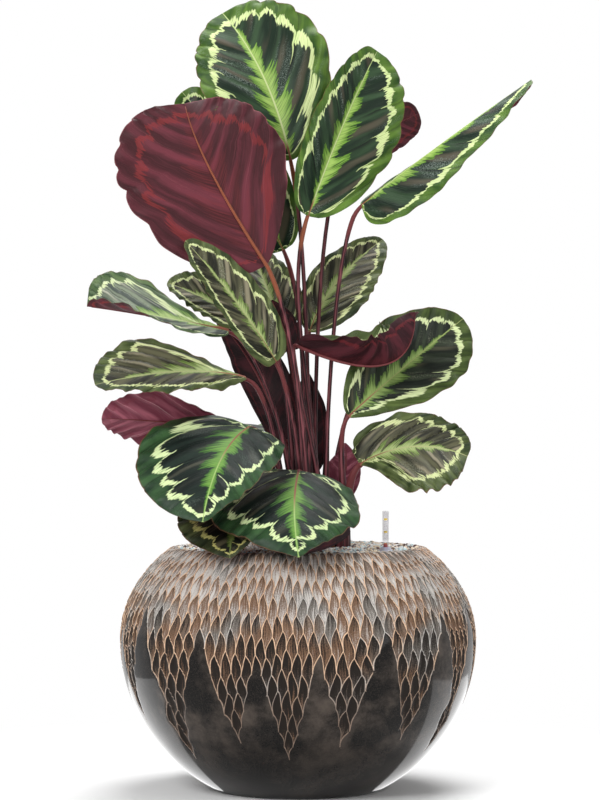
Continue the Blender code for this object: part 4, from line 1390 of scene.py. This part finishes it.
def build_pebbles(sizes, material):
    """Loose pebbles on the gravel bed: squashed, bent balls laid on a sunflower spiral and shaken.

    The bed rises towards the crown, and dips beside the indicator's collar. The outermost pebbles lie on
    the inner slope of the lip.
    """
    random = np.random.default_rng(7)
    shape, triangles = ball()
    count = sizes.pebbles
    (lip_middle, lip_height), _ = lip_arc()
    reach = lip_middle - RIM_PEBBLES
    radius = reach * np.sqrt((np.arange(count) + 0.5) / count)
    angle = np.arange(count) * SPIRAL
    shake = random.normal(0, sizes.pebble * 0.4, (2, count))
    x, y = radius * np.cos(angle) + shake[0], radius * np.sin(angle) + shake[1]
    size = sizes.pebble * random.uniform(0.65, 1.35, count)
    from_crown = np.hypot(x - CROWN_MIDDLE.x, y - CROWN_MIDDLE.y)
    from_tube = np.hypot(x - TUBE_MIDDLE.x, y - TUBE_MIDDLE.y)
    free = from_crown > (CROWN_HIGH.x - CROWN_MIDDLE.x) + size * 0.4
    free &= from_tube > (COLLAR_HIGH.x - TUBE_MIDDLE.x) + size * 1.2
    free &= np.hypot(x, y) + size * 0.5 < reach
    x, y, size, from_tube = x[free], y[free], size[free], from_tube[free]
    count = len(x)
    stretch = random.uniform(0.7, 1.25, (count, 1, 3)) * [1.1, 1.1, 0.85]
    wave = shape[None] * random.uniform(1.5, 4, (count, 1, 3)) + random.uniform(0, 6, (count, 1, 3))
    bend = 1 + 0.14 * np.sin(wave)
    points = shape[None] * stretch * bend * size[:, None, None]
    turn = random.uniform(0, 2 * math.pi, count)
    cos, sin = np.cos(turn)[:, None], np.sin(turn)[:, None]
    across = points[..., 0] * cos - points[..., 1] * sin
    deep = points[..., 0] * sin + points[..., 1] * cos
    lifted = points[..., 2] + across * np.sin(random.uniform(-0.5, 0.5, count))[:, None]
    heap = heaped(sizes, np.hypot(x, y) / reach, from_tube)
    level = GRAVEL_HIGH.z + heap + size * random.uniform(-0.4, 0.4, count)
    slope = lip_height + np.sqrt(LIP_RADIUS**2 - np.clip(lip_middle - np.hypot(x, y), 0, LIP_RADIUS) ** 2)
    level = np.where(np.hypot(x, y) > opening() - size, np.maximum(level, slope + 0.7 * size), level)
    points = np.stack([across + x[:, None], deep + y[:, None], lifted + level[:, None]], axis=-1)
    faces = (triangles[None] + (np.arange(count) * len(shape))[:, None, None]).reshape(-1, 3)
    tone = np.repeat(random.uniform(0, 1, (count, 2)), triangles.size, axis=0)
    item = new_piece("pebbles", points.reshape(-1, 3), [faces], [material], uv_maps={"tone": tone})
    dress(item, "root", "gravel")


def build_bed(sizes, material):
    """A closed disc of grit under the pebbles, which rises with them towards the crown."""
    rings, columns = 34, 120
    share_out, angle = np.meshgrid(np.linspace(1, 0.02, rings), once_round(columns), indexing="ij")
    reach = opening()
    x, y = reach * share_out * np.cos(angle), reach * share_out * np.sin(angle)
    heap = heaped(sizes, share_out, np.hypot(x - TUBE_MIDDLE.x, y - TUBE_MIDDLE.y))
    level = GRAVEL_HIGH.z + 0.3 * MM + heap - 0.2 * sizes.pebble
    points = np.stack([x, y, level], axis=-1).reshape(-1, 3)
    floor = GRAVEL_HIGH.z - BED_DEPTH
    low = np.stack([x[0], y[0], np.full(columns, floor)], axis=-1)
    points = np.concatenate([low, points, [[0, 0, level[-1, 0]], [0, 0, floor]]])
    top = (rings + 1) * columns
    cap = fan(top, rings * columns, columns)
    foot = fan(top + 1, 0, columns, forward=False)
    item = new_piece("grit_bed", points, [wrapped_faces(rings + 1, columns), cap, foot], [material])
    item.data.set_sharp_from_angle(angle=math.radians(60))
    dress(item, "root", "gravel")


def pebble_finish(sizes):
    """Stone in four colours, picked by each pebble's own number, with faint veins."""
    material, tree, shader = new_material("pebble_stone", Specular_IOR_Level=0.4)
    pick, second, _ = tree.uv("tone")
    skin = tree.blend(tree.step(pick, 0.3, 0.32), sizes.cream, sizes.white)
    skin = tree.blend(tree.step(pick, 0.64, 0.66), skin, sizes.blue)
    skin = tree.blend(tree.step(pick, 0.82, 0.84), skin, sizes.brown)
    dust = tree.specks(420.0, 2.0)
    skin = tree.blend(tree.times(tree.step(dust, 0.5, 0.72), 0.15), skin, sizes.bed)
    skin = tree.blend(tree.times(second, 0.07), skin, sizes.bed)
    tree.coat(shader, skin, tree.scaled(dust, 0.3, 0.4), tree.bump(dust, 0.0005, 0.6))
    return material


def ground_finish(name, dark, light, scale):
    """Rough ground: two colours mixed by grains, with a strong bump."""
    material, tree, shader = new_material(name, Specular_IOR_Level=0.2, Roughness=0.9)
    grain = tree.specks(scale, 4.0, 0.65)
    skin = tree.blend(tree.step(grain, 0.38, 0.64), dark, light)
    tree.coat(shader, skin, normal=tree.bump(grain, 0.003, 0.8))
    return material


def build_crown(material):
    """The root crown: a low mound whose top is drawn up round the stalks, rough with old sheaths."""
    centre = CROWN_MIDDLE
    radius = CROWN_HIGH.x - centre.x
    low, high = GRAVEL_HIGH.z - MOUND_DEPTH, CROWN_HIGH.z + MOUND_RISE
    rows, columns = 26, 72
    rise, angle = np.meshgrid(np.linspace(0, 0.98, rows), once_round(columns), indexing="ij")
    lump = 0.5 * np.sin(9 * angle + 5 * rise) + 0.5 * np.sin(17 * angle - 7 * rise + 1)
    out = radius * (1 - rise**1.6) * (1 + 0.025 * lump * (1 - rise))
    height = low + (high - low) * smooth(rise, 0, 0.55)
    height = height + 1.6 * MM * lump * smooth(rise, 0, 0.3) * smooth(rise, 1, 0.8)
    points = np.stack([centre.x + out * np.cos(angle), centre.y + out * np.sin(angle), height], axis=-1)
    points = np.concatenate([points.reshape(-1, 3), [[centre.x, centre.y, low], [centre.x, centre.y, high]]])
    foot = fan(rows * columns, 0, columns, forward=False)
    cap = fan(rows * columns + 1, (rows - 1) * columns, columns)
    item = new_piece("crown_mound", points, [wrapped_faces(rows, columns), foot, cap], [material])
    item.data.set_sharp_from_angle(angle=math.radians(80))
    dress(item, "root", "crown", "crown")


class CALATHEA_OT_ground(Operator):
    """Build the pebbles, their grit and the crown, and finish the gravel and the soil of the frame"""

    bl_idname = "calathea.ground"
    bl_label = "Gravel and crown"

    def execute(self, context):
        """Lay the pebbles, heap the crown, and give the frame's gravel and soil their finishes."""
        sizes = context.scene.calathea.gravel
        build_pebbles(sizes, pebble_finish(sizes))
        grit = ground_finish("gravel_grit", sizes.brown, sizes.bed, 420.0)
        build_bed(sizes, grit)
        build_crown(ground_finish("crown_fibre", linear(44, 26, 22), linear(112, 74, 54), 240.0))
        soil = ground_finish("potting_soil", linear(28, 20, 15), linear(58, 44, 34), 180.0)
        for node, material in (("gravel", grit), ("soil", soil)):
            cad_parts[node].data.materials.clear()
            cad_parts[node].data.materials.append(material)
        return {"FINISHED"}


# --------------------------------------------------------------------------------------------- indicator

MARK_HEIGHTS = (312 * MM, 327 * MM)  # of the two bars' middles
MARK_HALF = 1.1 * MM  # half a bar's height
MARK_TURN = 0.5  # radians that a bar runs round the tube, to either side of the front
TUBE_WALL = 0.8 * MM
TUBE_CAP = 1 * MM  # thickness of its top, and radius of the top's edge
COLLAR_GAP = 0.3 * MM  # between the tube and the collar's hole
COLLAR_WALL = 1.2 * MM  # of the collar's crest
COLLAR_FOOT = 1 * MM  # height of the collar's outer edge
CAP_LENGTH = 1.5 * MM  # of the amber tip on the red float
RED_LENGTH = 4 * MM  # of the red below it
CLEAR_UP_TO = 302 * MM  # the tube is slightly frosted above that height
CLEAR, FROSTED = 0.1, 0.23  # how opaque the tube is below that height and above it
BAR_POINTS = 12  # along a bar
BAR_OUT, BAR_IN = 0.12 * MM, 0.1 * MM  # how far a bar stands out of the tube's face and into it


def build_tube(sizes, place, radius):
    """A clear tube with a flat closed top and a rounded top edge, open at its lower end."""
    material, tree, shader = new_material(
        "tube_plastic", Base_Color=sizes.tube, Roughness=0.3, IOR=1.45, Specular_IOR_Level=0.3
    )
    frosted = tree.step(tree.parts(tree.place())[2], CLEAR_UP_TO - 2 * MM, CLEAR_UP_TO + 2 * MM)
    tree.put(shader.inputs["Alpha"], tree.scaled(frosted, FROSTED - CLEAR, CLEAR))
    top, low = TUBE_HIGH.z, GRAVEL_LOW.z
    turn = np.linspace(0, math.pi / 2, 6)
    flank, lid = radius - TUBE_CAP, top - TUBE_CAP
    corner = [(flank + TUBE_CAP * math.sin(a), lid + TUBE_CAP * math.cos(a)) for a in turn]
    inside = radius - TUBE_WALL
    profile = [(0.0, top), *corner, (radius, low), (inside, low), (inside, lid), (0.0, lid)]
    tube = turned("tube", profile, 40, material, place)
    dress(tube, "root", "indicator_tube", "indicator_tube")


def build_float(sizes, place, radius):
    """A slim rod with a round top, red above and with an amber tip."""
    material, tree, shader = new_material("float_plastic")
    height = tree.parts(tree.place())[2]
    worn = tree.specks(500.0, 2.0)
    body = tree.blend(tree.step(worn, 0.4, 0.7), sizes.plastic, linear(190, 190, 188))
    tip = FLOAT_HIGH.z - CAP_LENGTH
    low = tip - RED_LENGTH
    body = tree.blend(tree.step(height, low - 0.4 * MM, low), body, sizes.red)
    body = tree.blend(tree.step(height, tip, tip + 0.6 * MM), body, sizes.amber)
    tree.coat(shader, body, tree.scaled(worn, 0.2, 0.3))
    dome = np.linspace(0, math.pi / 2, 8)
    cap = [(radius * math.sin(a), FLOAT_HIGH.z - radius * (1 - math.cos(a))) for a in dome]
    item = turned("float", cap + [(radius, FLOAT_LOW.z), (0.0, FLOAT_LOW.z)], 24, material, place)
    dress(item, "float", "indicator_float", "indicator_float")


def build_collar(sizes, place, hole):
    """A flared cone that stands on the gravel round the tube, thin and slightly cloudy."""
    material, tree, shader = new_material("collar_plastic", Alpha=0.88, Subsurface_Weight=0.2)
    cloud = tree.specks(240.0, 2.0)
    skin = tree.blend(cloud, sizes.collar, linear(204, 200, 220))
    tree.coat(shader, skin, tree.scaled(cloud, 0.2, 0.2))
    base, crest = COLLAR_LOW.z, COLLAR_HIGH.z
    wide = COLLAR_HIGH.x - place[0]
    throat = hole + COLLAR_WALL
    flare = [
        (throat + (wide - throat) * out**1.2, crest - (crest - base - COLLAR_FOOT) * out)
        for out in np.linspace(0, 1, 14)
    ]
    profile = [(hole, crest), *flare, (wide, base), (hole, base)]
    collar = turned("collar", profile, 48, material, place, closed=True)
    dress(collar, "root", "indicator_collar", "indicator_collar")


def build_bars(sizes, place, radius):
    """The two level bars: thin curved plates sunk slightly into the front of the tube."""
    material, tree, shader = new_material("bar_print", Roughness=0.5)
    worn = tree.step(tree.specks(900.0, 2.0), 0.62, 0.8)
    tree.coat(shader, tree.blend(worn, sizes.mark, sizes.plastic))
    turn = np.linspace(-MARK_TURN, MARK_TURN, BAR_POINTS) - math.pi / 2
    outer, inner = radius + BAR_OUT, radius - BAR_IN
    for number, level in enumerate(MARK_HEIGHTS):
        low, high = level - MARK_HALF, level + MARK_HALF
        rows = [
            np.stack([place[0] + r * np.cos(turn), place[1] + r * np.sin(turn), 0 * turn + z], axis=-1)
            for r, z in ((outer, low), (outer, high), (inner, high), (inner, low), (outer, low))
        ]
        first = np.arange(4) * BAR_POINTS
        ends = np.stack([first, (first + BAR_POINTS - 1)[::-1]])
        faces = [grid_faces(5, BAR_POINTS), ends]
        bar = new_piece(f"level_bar_{number}", np.concatenate(rows), faces, [material])
        clean(bar, 35)
        dress(bar, "root", "indicator_tube")


class CALATHEA_OT_indicator(Operator):
    """Build the water-level indicator"""

    bl_idname = "calathea.indicator"
    bl_label = "Water-level indicator"

    def execute(self, context):
        """Turn the tube, the float and the collar about the indicator's axis, and print the bars."""
        sizes = context.scene.calathea.indicator
        centre = TUBE_MIDDLE
        place = (centre.x, centre.y)
        radius = TUBE_HIGH.x - centre.x
        build_tube(sizes, place, radius)
        build_float(sizes, place, FLOAT_HIGH.x - centre.x)
        build_collar(sizes, place, radius + COLLAR_GAP)
        build_bars(sizes, place, radius)
        return {"FINISHED"}


# ------------------------------------------------------------------------------------------------- stage

SENSOR = 36.0  # millimetres
FLOOR_SIZE = 8.0  # metres
LAMPS = {
    # name: place, size and power in watts
    "key": ((-1.7, -2.6, 2.1), 1.9, 92.0),
    "fill": ((2.2, -2.2, 1.2), 2.2, 26.0),
    "top": ((0.3, 0.6, 2.6), 1.8, 60.0),
}
AIM = Vector((0, 0, 0.5))  # what the lamps are turned to
BOARD = ((-0.01, 0.27, 0.004), (1.14, 0.66), 3.7)  # lit board on the floor: place, size and power in watts
SHADOW_FADES = (0.28, 0.75)  # distances from the pot's axis between which the floor turns into background
MIRRORED_FROM = (0.18, 0.26)  # the same for what glossy surfaces mirror of it


def build_floor(sizes):
    """A pale floor that keeps the pot's shadow near it and turns into the plain background further out."""
    half = FLOOR_SIZE / 2
    points = [(-half, -half, 0), (half, -half, 0), (half, half, 0), (-half, half, 0)]
    material, tree, shader = new_material("floor_paint", Base_Color=sizes.floor, Roughness=0.8)
    nodes = material.node_tree.nodes
    away = tree.add("VectorMath", {0: tree.place()}, operation="LENGTH").outputs["Value"]
    path = tree.add("LightPath").outputs
    straight = tree.math("MAXIMUM", path["Is Camera Ray"], path["Is Transmission Ray"])
    far = tree.times(tree.step(away, *SHADOW_FADES), straight)
    mirrored = tree.times(tree.step(away, *MIRRORED_FROM), path["Is Glossy Ray"])
    glow = tree.add("Emission", {"Color": sizes.floor}).outputs[0]
    mixed = tree.add("MixShader", {0: tree.math("MAXIMUM", far, mirrored), 1: shader.outputs[0], 2: glow})
    tree.tree.links.new(mixed.outputs[0], nodes["Material Output"].inputs[0])
    floor = new_piece("floor", points, [np.array([[0, 1, 2, 3]])], [material])


def hang(name, shape, place, power, turn):
    """An area lamp of that shape and power in watts at its place."""
    lamp = bpy.data.lights.new(name, "AREA")
    lamp.shape = shape
    lamp.energy = power
    item = bpy.data.objects.new(name, lamp)
    item.location = place
    item.rotation_euler = turn
    bpy.context.scene.collection.objects.link(item)
    return item


def build_light(sizes):
    """Soft lamps round the plant, and an even surround that looks white where it is seen.

    A lit board, flat on the floor under and behind the pot, faces up and only shows in reflections.
    """
    for name, (place, size, power) in LAMPS.items():
        lamp = hang(name, "DISK", place, power, (Vector(place) - AIM).to_track_quat("Z", "Y").to_euler())
        lamp.data.size = size
    place, size, power = BOARD
    board = hang("board", "RECTANGLE", place, power, (math.pi, 0, 0))
    board.data.size, board.data.size_y = size
    board.visible_diffuse = False
    board.visible_camera = False
    world = bpy.data.worlds.new("surround")
    bpy.context.scene.world = world
    world.use_nodes = True
    tree = Tree(world.node_tree)
    path = tree.add("LightPath").outputs
    seen = tree.math("MAXIMUM", path["Is Camera Ray"], path["Is Glossy Ray"])
    seen = tree.math("MAXIMUM", seen, path["Is Transmission Ray"])
    ground = world.node_tree.nodes["Background"]
    tree.put(ground.inputs["Color"], sizes.floor)
    tree.put(ground.inputs["Strength"], tree.scaled(seen, 1 - sizes.ambient, sizes.ambient))


def build_camera(sizes):
    """A level camera that looks along +Y, with its view height set at the pot's axis."""
    data = bpy.data.cameras.new("camera")
    data.sensor_width = SENSOR
    data.lens = SENSOR * sizes.distance / sizes.view_height
    camera = bpy.data.objects.new("camera", data)
    camera.location = (sizes.aside, -sizes.distance, sizes.eye)
    camera.rotation_euler = (math.pi / 2, 0, 0)
    bpy.context.scene.collection.objects.link(camera)
    bpy.context.scene.camera = camera
    bpy.context.scene.view_settings.view_transform = "Standard"


class CALATHEA_OT_stage(Operator):
    """Build the floor, the lamps and the camera"""

    bl_idname = "calathea.stage"
    bl_label = "Stage"

    def execute(self, context):
        """Lay the floor, hang the lamps and place the camera."""
        sizes = context.scene.calathea.stage
        build_floor(sizes)
        build_light(sizes)
        build_camera(sizes)
        return {"FINISHED"}


# ------------------------------------------------------------------------------------------------- panel

OPERATORS = (
    CALATHEA_OT_pot, CALATHEA_OT_ground, CALATHEA_OT_stems, CALATHEA_OT_blades, CALATHEA_OT_indicator,
    CALATHEA_OT_stage,
)


class CALATHEA_PT_panel(Panel):
    """The sizes, the colours and a button for each step"""

    bl_idname = "CALATHEA_PT_panel"
    bl_label = "Potted calathea"
    bl_space_type = "VIEW_3D"
    bl_region_type = "UI"
    bl_category = "Calathea"

    def draw(self, context):
        """List every setting under its group, then the buttons."""
        settings = context.scene.calathea
        for key, group in GROUPS.items():
            box = self.layout.box()
            box.label(text=key.title())
            for name in group.__annotations__:
                box.prop(getattr(settings, key), name)
        for operator in OPERATORS:
            self.layout.operator(operator.bl_idname)


CLASSES = (*GROUPS.values(), CalatheaSettings, *OPERATORS, CALATHEA_PT_panel)


def register():
    """Register the classes and hang the settings on the scene."""
    for item in CLASSES:
        bpy.utils.register_class(item)
    bpy.types.Scene.calathea = PointerProperty(type=CalatheaSettings)


def unregister():
    """Undo register."""
    del bpy.types.Scene.calathea
    for item in reversed(CLASSES):
        bpy.utils.unregister_class(item)


def main():
    register()
    bpy.ops.calathea.pot()
    bpy.ops.calathea.ground()
    bpy.ops.calathea.stems()
    bpy.ops.calathea.blades()
    bpy.ops.calathea.indicator()
    bpy.ops.calathea.stage()


if __name__ == "__main__":
    main()
